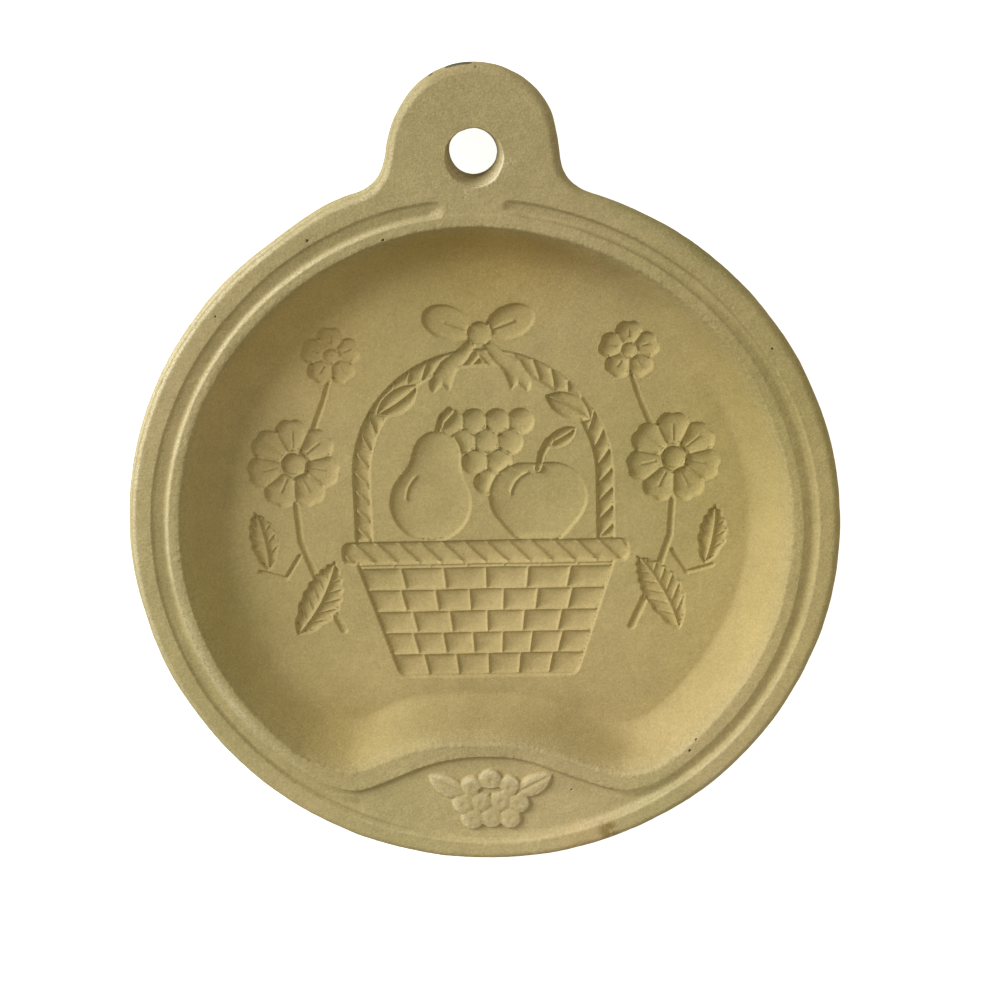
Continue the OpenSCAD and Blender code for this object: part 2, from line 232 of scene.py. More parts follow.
def pressed(x, y):
    """The outline as it came out of the press: the tab leans a little and the left shoulder is fuller."""
    r, th = np.hypot(x, y), np.arctan2(y, x)
    out = sst((r - 61.0) / 4.0)
    push = (1.0 * bump_at(th, 111, 9) * (1 - sst((y - 66) / 8)) + 0.2 * bump_at(th, 58, 16)) * out
    tab = sst((np.hypot(x, y - HOLE_Y) - 6.2) / 4.6) * out * (y > 55)
    dx = 0.50 * sst((y - 71) / 9) - 0.38 * np.exp(-((y - 68.5) / 3.0) ** 2) * sst((-x - 8) / 6) + 0.48 * np.exp(-((y - 69.8) / 3.0) ** 2) * sst((x - 8) / 6)
    return x + push * np.cos(th) + dx * tab, y + push * np.sin(th)


# ---------------------------------------------------------------- the picture
BASKET_TOP, BASKET_LOW = -8.0, -31.0
HANDLE_Y, HANDLE_R = 9.0, 22.8
FAR = 99.0


def dome(d, w):
    t = np.clip(d / w, 0, 1)
    return 1 - (1 - t) ** 2


def bow(x, y):
    d = stroke(x, y, [(0, 36.2), (0.1, 36.3)], 2.3, 2.3)
    knot = d
    rd = np.full(x.shape, FAR)
    p = np.zeros(x.shape)
    for m in (-1, 1):
        u, v = m * x, y - 36.2
        c, s = math.cos(0.35), math.sin(0.35)
        a, b = (u - 5.9) * c + (v - 2.3) * s, -(u - 5.9) * s + (v - 2.3) * c
        q = np.hypot(a / 4.7, b / 3.2)
        loop = (1 - q) * 3.2
        loop = smax(loop, stroke(u, v, [(1.0, 0.2), (4.0, 1.4)], 1.0, 2.2), 0.8)
        d = np.maximum(d, loop)
        p = np.maximum(p, 0.42 * dome(loop, 2.4) * (loop > 0))
        # the gathers that run out of the knot
        crease = -stroke(u, v, [(2.2, 0.7), (6.4, 2.2)], 0.0, 0.0)
        rd = np.where((loop > 0.4) & (knot < -0.1), np.minimum(rd, crease), rd)
        tail = stroke(u, v, [(0.8, -1.0), (3.4, -4.0), (6.0, -6.4), (7.4, -9.4)], 0.9, 2.1)
        fork = ((v + 9.6) + np.abs(u - 7.0) * 0.9) * 0.7
        tail = np.minimum(tail, fork)
        d = np.maximum(d, tail)
        p = np.maximum(p, 0.34 * dome(tail, 1.8) * (tail > 0))
    p = np.where(knot > 0, 0.45 * dome(knot, 2.0), p)
    rd = np.where((d > 0) & (np.abs(knot) < 0.9), np.minimum(rd, np.abs(knot)), rd)
    return d, p, rd


def basket_half(y):
    return 17.0 + 7.5 * (y - BASKET_LOW) / (BASKET_TOP - BASKET_LOW)


def band(x, y):
    d = smin(27.2 - np.abs(x), 2.35 - np.abs(y + 5.7), 1.6)
    s = np.mod(x + 1.0 * (y + 5.7) + 2.1, 4.2)
    rd = np.minimum(s, 4.2 - s) * 0.71
    return d, 0.42 * dome(np.minimum(d, rd * 1.1), 1.4), rd


def basket(x, y):
    d = smin((basket_half(y) - np.abs(x)) * 0.95, y - BASKET_LOW, 1.8)
    d = np.minimum(d, BASKET_TOP + 1.0 - y)
    row = (y - (BASKET_LOW + 0.5)) / 4.35
    k = np.floor(row)
    v = (row - k) * 4.35
    n = 6 + np.mod(k, 2)
    half = basket_half(y)
    u = (x + half) / (2 * half) * n
    f = u - np.floor(u)
    w = 2 * half / n
    dv = np.minimum(f, 1 - f) * w
    dh = np.minimum(v, 4.35 - v)
    rd = np.minimum(dv, dh)
    p = 0.46 * dome(dh, 1.9) * dome(dv, 2.6)
    return d, p, rd


def handle(x, y):
    r = np.hypot(x, y - HANDLE_Y)
    up = y > HANDLE_Y
    q = np.where(up, r, np.abs(x)) - HANDLE_R
    d = 1.75 - np.abs(q)
    d = np.minimum(d, y + 8.0)
    ang = np.arctan2(np.abs(x), y - HANDLE_Y)
    s = np.where(up, ang * HANDLE_R, 0.5 * np.pi * HANDLE_R + (HANDLE_Y - y))
    t = np.mod(s + q * 1.0, 3.6)
    rd = np.minimum(t, 3.6 - t) * 0.71
    return d, 0.38 * dome(np.minimum(d, rd * 1.1), 1.2), rd


def apple(x, y):
    d = smax(circ(x, y, 7.7, 4.9, 6.7), circ(x, y, 12.8, 4.9, 6.7), 1.6)
    d = smax(d, circ(x, y, 10.2, 1.6, 6.6), 1.6)
    dip = stroke(x, y, [(10.2, 12.2), (10.3, 10.4)], 1.5, 0.6)
    stem = stroke(x, y, [(10.3, 10.2), (11.0, 13.2), (12.4, 15.6)], 0.55, 0.8)
    p = 0.55 * dome(d, 5.5)
    p = p - 0.32 * sst((dip + 1.4) / 2.2) * (d > 0)
    # a bright crescent, as on a carved apple
    arc = np.abs(np.hypot(x - 10.2, y - 4.6) - 5.2)
    ang = np.arctan2(y - 4.6, x - 10.2)
    rd = np.where((ang > 1.9) & (ang < 3.0), arc, FAR)
    rd = np.where(d > 0.5, rd, FAR)
    rd = np.where(stem > -0.6, np.where(d > 0, np.minimum(rd, np.abs(stem)), rd), rd)
    p = np.where(stem > 0, 0.3 * dome(stem, 0.6), p)
    return np.maximum(d, stem), np.maximum(p, 0), rd


def pear(x, y):
    d = smax(circ(x, y, -10.0, 4.0, 7.7), circ(x, y, -8.5, 13.6, 4.4), 4.5)
    stem = stroke(x, y, [(-8.3, 17.4), (-7.6, 19.8), (-5.9, 21.8)], 0.6, 0.8)
    p = 0.55 * dome(d, 4.8)
    arc = np.abs(np.hypot(x + 8.6, y - 4.6) - 6.0)
    ang = np.arctan2(y - 4.6, x + 8.6)
    rd = np.where((ang > 2.3) & (ang < 3.3), arc, FAR)
    rd = np.where(d > 0.5, rd, FAR)
    return np.maximum(d, stem), np.where(stem > np.maximum(d, 0), 0.3 * dome(stem, 0.6), p), rd


def grapes(x, y):
    d = np.full(x.shape, -1e9)
    p = np.zeros(x.shape)
    second = np.full(x.shape, -1e9)
    for row in range(4):
        for i in range(row + 1):
            c = circ(x, y, 0.8 + (i - row / 2) * 4.3, 7.9 + 3.9 * row, 2.6)
            second = np.maximum(second, np.minimum(c, d))
            d = np.maximum(d, c)
    p = 0.58 * dome(d, 2.5) * (d > 0)
    rd = np.where(d > 0, (d - second) * 0.6, FAR)
    return smax(d, d, 0.01), p, rd


def flower(x, y, cx, cy, n, rp, dist, core):
    u, v = x - cx, y - cy
    r = np.hypot(u, v)
    a = np.arctan2(v, u) - np.pi / 2
    w = 2 * np.pi / n
    a = a - w * np.round(a / w)
    pu, pv = r * np.cos(a), r * np.sin(a)
    # a petal is broad and a little notched at its tip
    petal = rp - np.hypot((pu - dist) * 0.96, pv)
    petal = petal - 0.55 * np.exp(-(pv / 0.9) ** 2 - ((pu - dist - rp) / 1.2) ** 2)
    side = r * np.sin(np.clip(w / 2 - np.abs(a), 0, np.pi / 2))
    c = core - r
    d = np.maximum(petal, c)
    p = 0.5 * dome(np.minimum(petal, side), rp * 0.62)
    vein = np.where((pu > core + 0.9) & (pu < dist + rp * 0.2), np.abs(pv), FAR)
    rd = np.where(petal > 0, np.minimum(side, vein + 0.12), FAR)
    rd = np.where(c > -1.0, np.minimum(np.abs(c), np.where(c > 0, FAR, rd)), rd)
    p = np.where(c > 0, 0.5 * dome(c, core * 0.8), p)
    return d, p, rd


def blossoms(x, y):
    out = None
    for b in (flower(x, y, -35.5, 12.0, 7, 3.3, 5.6, 2.3), flower(x, y, 35.5, 12.0, 7, 3.3, 5.6, 2.3),
              flower(x, y, -27.5, 32.5, 5, 2.5, 3.3, 1.5), flower(x, y, 27.5, 32.5, 5, 2.5, 3.3, 1.5)):
        if out is None:
            out = b
        else:
            near = b[0] > out[0]
            out = tuple(np.where(near, p, q) for p, q in zip(b, out))
    return out


LEAVES = [(-32.5, -14.5, 62, 17, 7.4), (32.5, -14.5, 118, 17, 7.4), (-42.3, -3, 100, 12, 5.4), (42.3, -3, 80, 12, 5.4)]
SMALL = [(-15.5, 24, 35, 9.5, 4.6), (16, 22, 150, 9.5, 4.6), (14.6, 16.4, 30, 7, 3.4)]


def leaf(x, y, cx, cy, deg, ln, wd, veins=True):
    c, s = math.cos(math.radians(deg)), math.sin(math.radians(deg))
    u, v = (x - cx) * c + (y - cy) * s, -(x - cx) * s + (y - cy) * c
    bend = 0.035 * (u * u - ln * ln / 4) * wd / ln
    v = v - bend
    q = (ln * ln / 4 + wd * wd / 4) / wd
    d = np.minimum(q - np.hypot(u, v - (q - wd / 2)), q - np.hypot(u, v + (q - wd / 2)))
    if veins:
        t = np.mod(u - np.abs(v) * 0.9 + 40, 2.3)
        tooth = 0.16 * np.cos(2 * np.pi * t / 2.3)
        d = d + tooth * sst((d + 1.0) / 1.0) * (d < 0.8) - 0.05
        vd = np.minimum(t, 2.3 - t) * 0.74
    else:
        vd = np.full(x.shape, FAR)
    mid = np.abs(v)
    p = 0.42 * dome(np.minimum(mid, np.minimum(vd * 1.3 + 0.5, d)), wd * 0.2)
    rd = np.where(d > 0.35, np.minimum(mid, vd + 0.17), FAR)
    return d, p, rd


def leaves(x, y, group, veins=True):
    out = None
    for l in group:
        b = leaf(x, y, *l, veins=veins)
        if out is None:
            out = b
        else:
            near = b[0] > out[0]
            out = tuple(np.where(near, p, q) for p, q in zip(b, out))
    return out


def stems(x, y):
    d = np.full(x.shape, -1e9)
    for m in (-1, 1):
        for pts, a, b in (([(35.4, 5.0), (34.8, -3.0), (32.0, -11.0), (27.4, -21.0)], 0.62, 0.8),
                          ([(27.8, 28.6), (29.4, 23.6), (31.4, 18.6)], 0.5, 0.62),
                          ([(35.2, -6.0), (38.0, -10.4), (42.8, -9.0)], 0.5, 0.5)):
            d = np.maximum(d, stroke(m * x, y, pts, a, b))
    return d, np.zeros(x.shape), np.full(x.shape, FAR)


# front to back; the number is the relief that a ridge belongs to
GROUPS = ["basket_relief", "handle_relief", "fruit_relief", "blossom_relief", "leaf_relief"]
PICTURE = [(1, bow), (0, band), (0, basket), (2, apple), (2, pear), (4, lambda x, y: leaves(x, y, SMALL, False)),
           (2, grapes), (1, handle), (3, blossoms), (4, lambda x, y: leaves(x, y, LEAVES)), (4, stems)]
STEP, RIDGE_W, RIDGE_H = 0.56, 0.44, 0.36


def picture(x, y):
    """Distance inside the sunk picture, its depth, and the ridges that stand in it: height, distance inside, relief."""
    cov = np.full(x.shape, -1e9)
    cgrp = np.full(x.shape, -1)
    puff = np.zeros(x.shape)
    rd = np.full(x.shape, FAR)
    rgrp = np.full(x.shape, -1)
    for g, fn in PICTURE:
        d, p, ri = fn(x, y)
        vis = (d > 0) & (cov <= 0)
        fade = sst(-cov / 1.1)
        puff = np.where(vis, p * fade, puff)
        own = np.where(vis, ri, FAR)
        edge = np.where(vis, -cov, np.where((cov > 0) & (d > 0.2), cov, FAR))
        near = np.minimum(own, edge)
        take = near < rd
        rgrp = np.where(take, np.where(own <= edge, g, cgrp), rgrp)
        rd = np.where(take, near, rd)
        cgrp = np.where(d > cov, g, cgrp)
        cov = np.maximum(cov, d)
    depth = STEP * sst(cov / 0.45) + puff * sst(cov / 0.5)
    t = np.clip(rd / RIDGE_W, 0, 1)
    room = sst((cov - 0.35) / 0.5)
    ridge = RIDGE_H * (1 - t * t) ** 2 * room
    rsd = np.minimum(RIDGE_W - rd, cov - 0.36)
    return cov, depth, ridge, rsd, rgrp


# ---------------------------------------------------------------- the ornament
BERRIES = [(0, -49.2), (3.6, -50.6), (-3.6, -50.6), (1.9, -53.6), (-1.9, -53.6),
           (5.2, -54), (-5.2, -54), (0, -57), (3.6, -57.2), (-3.6, -57.2)]


def ornament(x, y):
    """Distance inside the raised spray, and its height."""
    d = np.full(x.shape, -1e9)
    top = np.zeros(x.shape)
    for bx, by in BERRIES:
        c = circ(x, y, bx, by, 2.35)
        d = np.maximum(d, c)
        top = np.maximum(top, np.sqrt(np.clip(1 - (np.clip(2.35 - c, 0, 2.35) / 2.35) ** 2, 0, 1)))
    height = 0.36 + 0.56 * top
    # a small dimple in each berry
    for bx, by in BERRIES:
        height = height - 0.13 * np.exp(-((x - bx) ** 2 + (y - by) ** 2) / 0.30)
    for m in (-1, 1):
        l, p, rd = leaf(m * x, y, 8.0, -50.2, 28, 9.0, 4.4, False)
        c, s = math.cos(math.radians(28)), math.sin(math.radians(28))
        mid = np.abs(-(m * x - 8.0) * s + (y + 50.2) * c)
        lh = 0.42 + 0.34 * dome(l, 1.6) - 0.20 * np.exp(-(mid / 0.32) ** 2)
        height = np.where((l > 0) & (l > d), lh, height)
        d = np.maximum(d, l)
    body = stroke(x, y, [(-4.4, -51.2), (4.4, -51.2)], 1.0, 1.0)
    height = np.where((body > 0) & (body > d), 0.36, height)
    d = np.maximum(d, body)
    return d, height * sst((d + 0.02) / 0.34) * (d > -0.02)


def heights(x, y):
    """Everything at once: base height, full height, and what the regions need."""
    base = form(x, y)
    cov, depth, ridge, rsd, rgrp = picture(x, y)
    inside = hollow_in(x, y) > FOOT - 1.0
    depth = np.where(inside, depth, 0.0)
    ridge = np.where(inside, ridge, 0.0)
    rsd = np.where(inside, rsd, -9.0)
    od, oh = ornament(x, y)
    base = base - depth
    return base, base + ridge + oh, cov, rsd, rgrp, od


# ---------------------------------------------------------------- waviness of hand-pressed clay
rng = np.random.RandomState(11)


def waves(n, lo, hi):
    lam = np.exp(rng.uniform(math.log(lo), math.log(hi), n))
    v = rng.normal(size=(n, 3))
    v /= np.linalg.norm(v, axis=1)[:, None]
    return v * (2 * np.pi / lam)[:, None], rng.uniform(0, 2 * np.pi, n)


LONG, MID, SHORT = waves(26, 14, 46), waves(40, 3.2, 9), waves(56, 1.1, 2.6)


def wave_sum(p, w):
    out = np.zeros(len(p))
    for k, ph in zip(*w):
        out += np.sin(p @ k + ph)
    return out / math.sqrt(len(w[1]) / 2)


def unevenness(p):
    return -0.07 + 0.050 * wave_sum(p, LONG) + 0.016 * wave_sum(p, MID) + 0.008 * wave_sum(p, SHORT)


# Small open pits in the clay: x, y, radius, darkness
PITS = [(-19.3, 62.4, 0.22, 0.5), (-16.2, 55.3, 0.22, 0.9), (-47.0, 42.1, 0.2, 0.35), (-29.6, 55.3, 0.2, 0.35),
        (53.0, 34.1, 0.2, 0.35), (38.0, -43.5, 0.25, 0.85), (39.2, -41.3, 0.18, 0.35), (15.4, -51.6, 0.2, 0.4)]


# ---------------------------------------------------------------- loops
def arc(cx, cy, r, a0, a1, step):
    n = max(2, int(round(abs(a1 - a0) * r / step)))
    t = np.linspace(a0, a1, n + 1)
    return np.c_[cx + r * np.cos(t), cy + r * np.sin(t)], np.c_[np.cos(t), np.sin(t)]


def outline(step):
    """Points and outward normals round the outline, anticlockwise from the right end of the neck. Returns the index where the tab's share ends."""
    pts, nrm = [], []

    def add(p, n, last=False):
        pts.append(p if last else p[:-1])
        nrm.append(n if last else n[:-1])
    a0 = 1.5 * math.pi - SPREAD
    p, n = arc(FX, FY, NECK, a0, math.pi, step)
    add(p, -n)
    m = max(1, int(round((TY - FY) / step)))
    ys = np.linspace(FY, TY, m + 1)
    add(np.c_[np.full(m + 1, TR), ys], np.tile([1.0, 0.0], (m + 1, 1)))
    p, n = arc(0, TY, TR, 0, math.pi, step)
    add(p, n)
    add(np.c_[np.full(m + 1, -TR), ys[::-1]], np.tile([-1.0, 0.0], (m + 1, 1)))
    p, n = arc(-FX, FY, NECK, 0, -(0.5 * math.pi - SPREAD) , step)
    add(p, -n)
    tab_end = sum(map(len, pts))
    p, n = arc(0, 0, R, 0.5 * math.pi + SPREAD, 2.5 * math.pi - SPREAD, step)
    add(p, n)
    return np.vstack(pts), np.vstack(nrm), tab_end


OUT, OUT_N, TAB_END = outline(0.45)
N_OUT = len(OUT)
th_out = np.arctan2(OUT[:, 1], OUT[:, 0])


def hollow_loop(level, n):
    """The line where hollow_in equals level, by bisection along rays."""
    t = np.linspace(0, 2 * np.pi, n, endpoint=False)
    lo, hi = np.full(n, 15.0), np.full(n, 60.0)
    for _ in range(40):
        mid = (lo + hi) / 2
        more = hollow_in(mid * np.cos(t), mid * np.sin(t)) > level
        lo, hi = np.where(more, mid, lo), np.where(more, hi, mid)
    return np.c_[lo * np.cos(t), lo * np.sin(t)]


def panel_line(step):
    """The foot of the step between the lip and the panel, from seam to seam."""
    xs = np.linspace(-33, 33, 1200)
    e = 0.05
    slope = (hump(xs + e) - hump(xs - e)) / (2 * e)
    ys = hump(xs) - 0.8 * np.sqrt(1 + slope ** 2)
    keep = np.hypot(xs, ys) < SEAM
    xs, ys = xs[keep], ys[keep]
    s = np.r_[0, np.cumsum(np.hypot(np.diff(xs), np.diff(ys)))]
    q = np.linspace(0, s[-1], int(s[-1] / step) + 1)
    p = np.c_[np.interp(q, s, xs), np.interp(q, s, ys)]
    for end in (0, -1):     # the ends lie on the seam
        p[end] *= SEAM / np.hypot(*p[end])
    return p


STEP_LINE = panel_line(0.22)


def panel_in(x, y):
    """Positive on the panel's side of that line."""
    return -(hump_in(x, y) + 0.8)


def hole_wide(th):
    """How much wider the worn mouth of the hole is than the hole, round the hole."""
    return 0.98 + 0.44 * np.cos(th + 0.43) + 0.20 * bump_at(th, -62, 50) + 0.035 * np.sin(5 * th + 1.0) + 0.03 * np.sin(9 * th + 2.4) + 0.02 * np.sin(16 * th)


def hole_in(x, y):
    """Distance outside the hole's mouth."""
    return np.hypot(x, y - HOLE_Y) - HOLE_R - hole_wide(np.arctan2(y - HOLE_Y, x))


def in_tab(x, y):
    return (np.hypot(x, y) > TAB_R) & (np.arctan2(np.abs(x), y) < SPREAD)


# ---------------------------------------------------------------- front face
class Cloud:
    """Points and lines for one flat triangulation."""

    def __init__(self):
        self.pts, self.edges, self.n = [], [], 0

    def add(self, p, closed=None, first=None, last=None):
        ids = list(range(self.n, self.n + len(p)))
        self.pts.append(np.asarray(p, float))
        self.n += len(p)
        chain = ([first] if first is not None else []) + ids + ([last] if last is not None else [])
        if closed is not None:
            self.edges += list(zip(chain[:-1], chain[1:]))
            if closed:
                self.edges.append((chain[-1], chain[0]))
        return ids

    def run(self):
        p = np.vstack(self.pts)
        out = delaunay_2d_cdt([Vector(q) for q in p.tolist()], self.edges, [], 0, 1e-7, False)
        q = np.array([tuple(v) for v in out[0]])
        if len(q) != len(p) or np.abs(q - p).max() > 1e-4:
            more = [p[o].tolist() for o in out[3] if len(o) > 1][:6] if len(q) < len(p) else q[len(p):][:8].tolist()
            raise RuntimeError("the flat triangulation moved its points: %d in, %d out, %s" % (len(p), len(q), more))
        return p, np.array([tuple(f) for f in out[2]])


def hex_lattice(a, x0, x1, y0, y1):
    ny, nx = int((y1 - y0) / (a * 0.8660254)) + 2, int((x1 - x0) / a) + 2
    j, i = np.meshgrid(np.arange(ny), np.arange(-ny // 2 - 1, nx), indexing="ij")
    x, y = x0 + (i + j / 2) * a, y0 + j * a * 0.8660254
    keep = (x < x1) & (x > x0)
    return x[keep], y[keep], i[keep], j[keep]


FINE = 0.2
lx, ly, li, lj = hex_lattice(FINE, -66, 66, -66, 87)
rim_d = outline_in(lx, ly)
keep = (rim_d > INSET + 0.12) & (hole_in(lx, ly) > 0.12)
lx, ly, li, lj = lx[keep], ly[keep], li[keep], lj[keep]


def sharpness(x, y):
    """How far a point is from the nearest crease, roughly in mm."""
    cov, depth, ridge, rsd, rgrp = picture(x, y)
    inside = hollow_in(x, y) > FOOT - 1.2
    s = np.where(inside, np.minimum(np.abs(cov - 0.2), np.where(cov > 0, np.abs(rsd) * 1.0, FAR)), FAR)
    r = np.hypot(x, y)
    lip = lip_in(x, y)
    hump_zone = (lip < 0.6) & (lip > -1.6) & (r < 58.2)
    s = np.minimum(s, np.where(hump_zone, 0.2, FAR))
    rr = r - out_of_round(x, y)
    for c, wide in ((GROOVE_OUT - 0.1, 0.8), (LIP_OUT + 0.35, 0.7)):
        s = np.minimum(s, np.where((y > -46) | (c > 60), np.abs(rr - c) * wide, FAR))
    od, _ = ornament(x, y)
    s = np.minimum(s, np.where(od > -0.3, 0.1, FAR))
    h = hollow_in(x, y)
    s = np.minimum(s, np.where((h > -1.0) & (h < FOOT + 2.2), 0.9, FAR))
    s = np.minimum(s, np.where((h > -0.5) & (h < 0.7), 0.3, FAR))
    s = np.minimum(s, np.where((r > 57) & (r < 63.2), 0.9, FAR))
    s = np.minimum(s, np.maximum(np.hypot(x, y - HOLE_Y) - 5.4, 0.3))
    return s


sharp = sharpness(lx, ly)
four = (np.mod(li, 4) == 0) & (np.mod(lj, 4) == 0)
two = (np.mod(li, 2) == 0) & (np.mod(lj, 2) == 0)
keep = four | (two & (sharp < 1.25)) | (sharp < 0.48)
fx_, fy_ = lx[keep], ly[keep]


def snap(x, y, fn, level, reach):
    """Points close to the line fn = level move onto it."""
    f = fn(x, y) - level
    e = 1e-3
    near = np.abs(f) < reach
    xs, ys = x[near], y[near]
    gx = (fn(xs + e, ys) - fn(xs - e, ys)) / (2 * e)
    gy = (fn(xs, ys + e) - fn(xs, ys - e)) / (2 * e)
    g2 = gx * gx + gy * gy
    ok = (g2 > 0.5) & (g2 < 2.0)
    mx, my = np.where(ok, -f[near] * gx / np.maximum(g2, 1e-6), 0), np.where(ok, -f[near] * gy / np.maximum(g2, 1e-6), 0)
    far = np.hypot(mx, my) > reach
    x2, y2 = x.copy(), y.copy()
    x2[near] = xs + np.where(far, 0, mx)
    y2[near] = ys + np.where(far, 0, my)
    moved = np.zeros(x.shape, bool)
    moved[near] = ok & ~far
    return x2, y2, moved


def pic_cov(x, y):
    return picture(x, y)[0]


def pic_ridge(x, y):
    return picture(x, y)[3]


done = np.zeros(fx_.shape, bool)
in_pic = hollow_in(fx_, fy_) > FOOT - 1.0
for fn, level, zone in ((pic_cov, 0.0, in_pic), (pic_cov, 0.45, in_pic), (pic_ridge, 0.0, in_pic),
                        (lambda x, y: ornament(x, y)[0], 0.0, fy_ < -44), (lambda x, y: ornament(x, y)[0], 0.32, fy_ < -44)):
    pick = zone & ~done
    nx_, ny_, mv = snap(fx_[pick], fy_[pick], fn, level, FINE * 0.52)
    idx = np.where(pick)[0]
    fx_[idx], fy_[idx] = nx_, ny_
    done[idx[mv]] = True



def thin_out(x, y, least):
    """Marks the points to keep so that none is closer than least to another."""
    cells, keep_ = {}, np.ones(len(x), bool)
    for i in np.argsort(~done, kind="stable"):
        if not done[i] and not (done_near[i]):
            continue
        a, b = int(math.floor(x[i] / least)), int(math.floor(y[i] / least))
        hit = False
        for da in (-1, 0, 1):
            for db in (-1, 0, 1):
                for k in cells.get((a + da, b + db), ()):
                    if (x[k] - x[i]) ** 2 + (y[k] - y[i]) ** 2 < least * least:
                        hit = True
        if hit:
            keep_[i] = False
        else:
            cells.setdefault((a, b), []).append(i)
    return keep_


occupied = set(zip(np.floor(fx_[done] / 0.4).astype(int).tolist(), np.floor(fy_[done] / 0.4).astype(int).tolist()))
wide_set = {(a + i, b + j) for a, b in occupied for i in (-1, 0, 1) for j in (-1, 0, 1)}
done_near = np.array([c in wide_set for c in zip(np.floor(fx_ / 0.4).astype(int).tolist(), np.floor(fy_ / 0.4).astype(int).tolist())])
keep = thin_out(fx_, fy_, FINE * 0.55)
fx_, fy_ = fx_[keep], fy_[keep]

front = Cloud()
ring_top = front.add(OUT - OUT_N * INSET, closed=True)
N_HOLE = 120
ht = np.linspace(0, 2 * np.pi, N_HOLE, endpoint=False)
hole_dir = np.c_[np.cos(ht), np.sin(ht)]
hole_top = front.add(np.array([0, HOLE_Y]) + hole_dir * (HOLE_R + hole_wide(ht))[:, None], closed=True)
# the tab's inner boundary, from left to right, and its short radial ends
tab_mid, _ = arc(0, 0, TAB_R, 0.5 * math.pi + SPREAD, 0.5 * math.pi - SPREAD, 0.45)
tab_arc = front.add(tab_mid, closed=False)
dir_l = np.array([-math.sin(SPREAD), math.cos(SPREAD)])
dir_r = np.array([math.sin(SPREAD), math.cos(SPREAD)])
rad_l = front.add([dir_l * 63.5], closed=False, first=tab_arc[0], last=ring_top[TAB_END])
rad_r = front.add([dir_r * 63.5], closed=False, first=tab_arc[-1], last=ring_top[0])
# the seam in the groove, with the two ends of the step line on it
ends = [math.atan2(STEP_LINE[0][1], STEP_LINE[0][0]), math.atan2(STEP_LINE[-1][1], STEP_LINE[-1][0])]
lo, _ = arc(0, 0, SEAM, ends[0], ends[1], 0.3)
up, _ = arc(0, 0, SEAM, ends[1], ends[0] + 2 * math.pi, 0.3)
seam = front.add(np.vstack([lo[:-1], up[:-1]]), closed=True)
step_line = front.add(STEP_LINE[1:-1], closed=False, first=seam[0], last=seam[len(lo) - 1])
foot_pts = hollow_loop(FOOT, 960)
foot = front.add(foot_pts, closed=True)
# rings round the pits
pit_rings = []
for px, py, pr, pk in PITS:
    for q, m in ((0.0, 1), (0.35, 7), (0.65, 11), (0.95, 15), (1.3, 17)):
        t = np.arange(m) * 2 * np.pi / m + q
        pit_rings.append(np.c_[px + pr * q * np.cos(t), py + pr * q * np.sin(t)])
pit_rings = np.vstack(pit_rings)
front.add(pit_rings)
# lattice points that crowd a line or a pit stay out
lines = np.vstack([foot_pts, np.vstack([lo, up]), STEP_LINE, tab_mid, [dir_l * 63.5, dir_r * 63.5]])
cell = 0.5
table = {}
for i, (a, b) in enumerate(lines):
    table.setdefault((int(math.floor(a / cell)), int(math.floor(b / cell))), []).append(i)
cx_, cy_ = np.floor(fx_ / cell).astype(int), np.floor(fy_ / cell).astype(int)
keys = set()
for (a, b) in table:
    for da in (-1, 0, 1):
        for db in (-1, 0, 1):
            keys.add((a + da) * 100003 + b + db)
cand = np.isin(cx_ * 100003 + cy_, np.array(sorted(keys)))
ok = np.ones(fx_.shape, bool)
for i in np.where(cand)[0]:
    a, b = cx_[i], cy_[i]
    near = [k for da in (-1, 0, 1) for db in (-1, 0, 1) for k in table.get((a + da, b + db), ())]
    if near:
        d = lines[near] - (fx_[i], fy_[i])
        ok[i] = (d * d).sum(1).min() > (0.6 * FINE) ** 2
for px, py, pr, pk in PITS:
    ok &= np.hypot(fx_ - px, fy_ - py) > pr * 1.3 + 0.08
front.add(np.c_[fx_[ok], fy_[ok]])

P2, TRI = front.run()
cen = P2[TRI].mean(1)
ins = (outline_in(cen[:, 0], cen[:, 1]) > INSET - 1e-4) & (hole_in(cen[:, 0], cen[:, 1]) > -0.012)
TRI, cen = TRI[ins], cen[ins]
e1, e2 = P2[TRI[:, 1]] - P2[TRI[:, 0]], P2[TRI[:, 2]] - P2[TRI[:, 0]]
cross = e1[:, 0] * e2[:, 1] - e1[:, 1] * e2[:, 0]
TRI = np.where((cross < 0)[:, None], TRI[:, ::-1], TRI)
area_ok = np.abs(cross) > 1e-9
TRI, cen = TRI[area_ok], cen[area_ok]

base_z, full_z, cov, rsd, rgrp, od = heights(P2[:, 0], P2[:, 1])
pit, pit_tone = np.zeros(len(P2)), np.zeros(len(P2))
for px, py, pr, pk in PITS:
    d = np.hypot(P2[:, 0] - px, P2[:, 1] - py) / pr
    pit = np.maximum(pit, 1 - sst((d - 0.25) / 0.95))
    pit_tone = np.maximum(pit_tone, pk * (1 - sst((d - 0.25) / 0.95)))
full_z = full_z - 0.42 * pit
base_z = base_z - 0.42 * pit

# regions of the front face
LABELS = ["outer_rim", "hanging_tab", "inner_lip", "lower_panel", "picture_floor"] + GROUPS + ["ornament"]
cr = np.hypot(cen[:, 0], cen[:, 1])
lab = np.full(len(TRI), 2)
lab[(cr < SEAM) & (panel_in(cen[:, 0], cen[:, 1]) > 0)] = 3
h_c = hollow_in(cen[:, 0], cen[:, 1])
lab[h_c > FOOT] = 4
lab[cr > SEAM] = 0
lab[in_tab(cen[:, 0], cen[:, 1])] = 1
_, _, _, c_rsd, c_rgrp, c_od = heights(cen[:, 0], cen[:, 1])
for g in range(len(GROUPS)):
    lab[(lab == 4) & (c_rsd > 0) & (c_rgrp == g)] = 5 + g
lab[(lab == 3) & (c_od > 0)] = 10

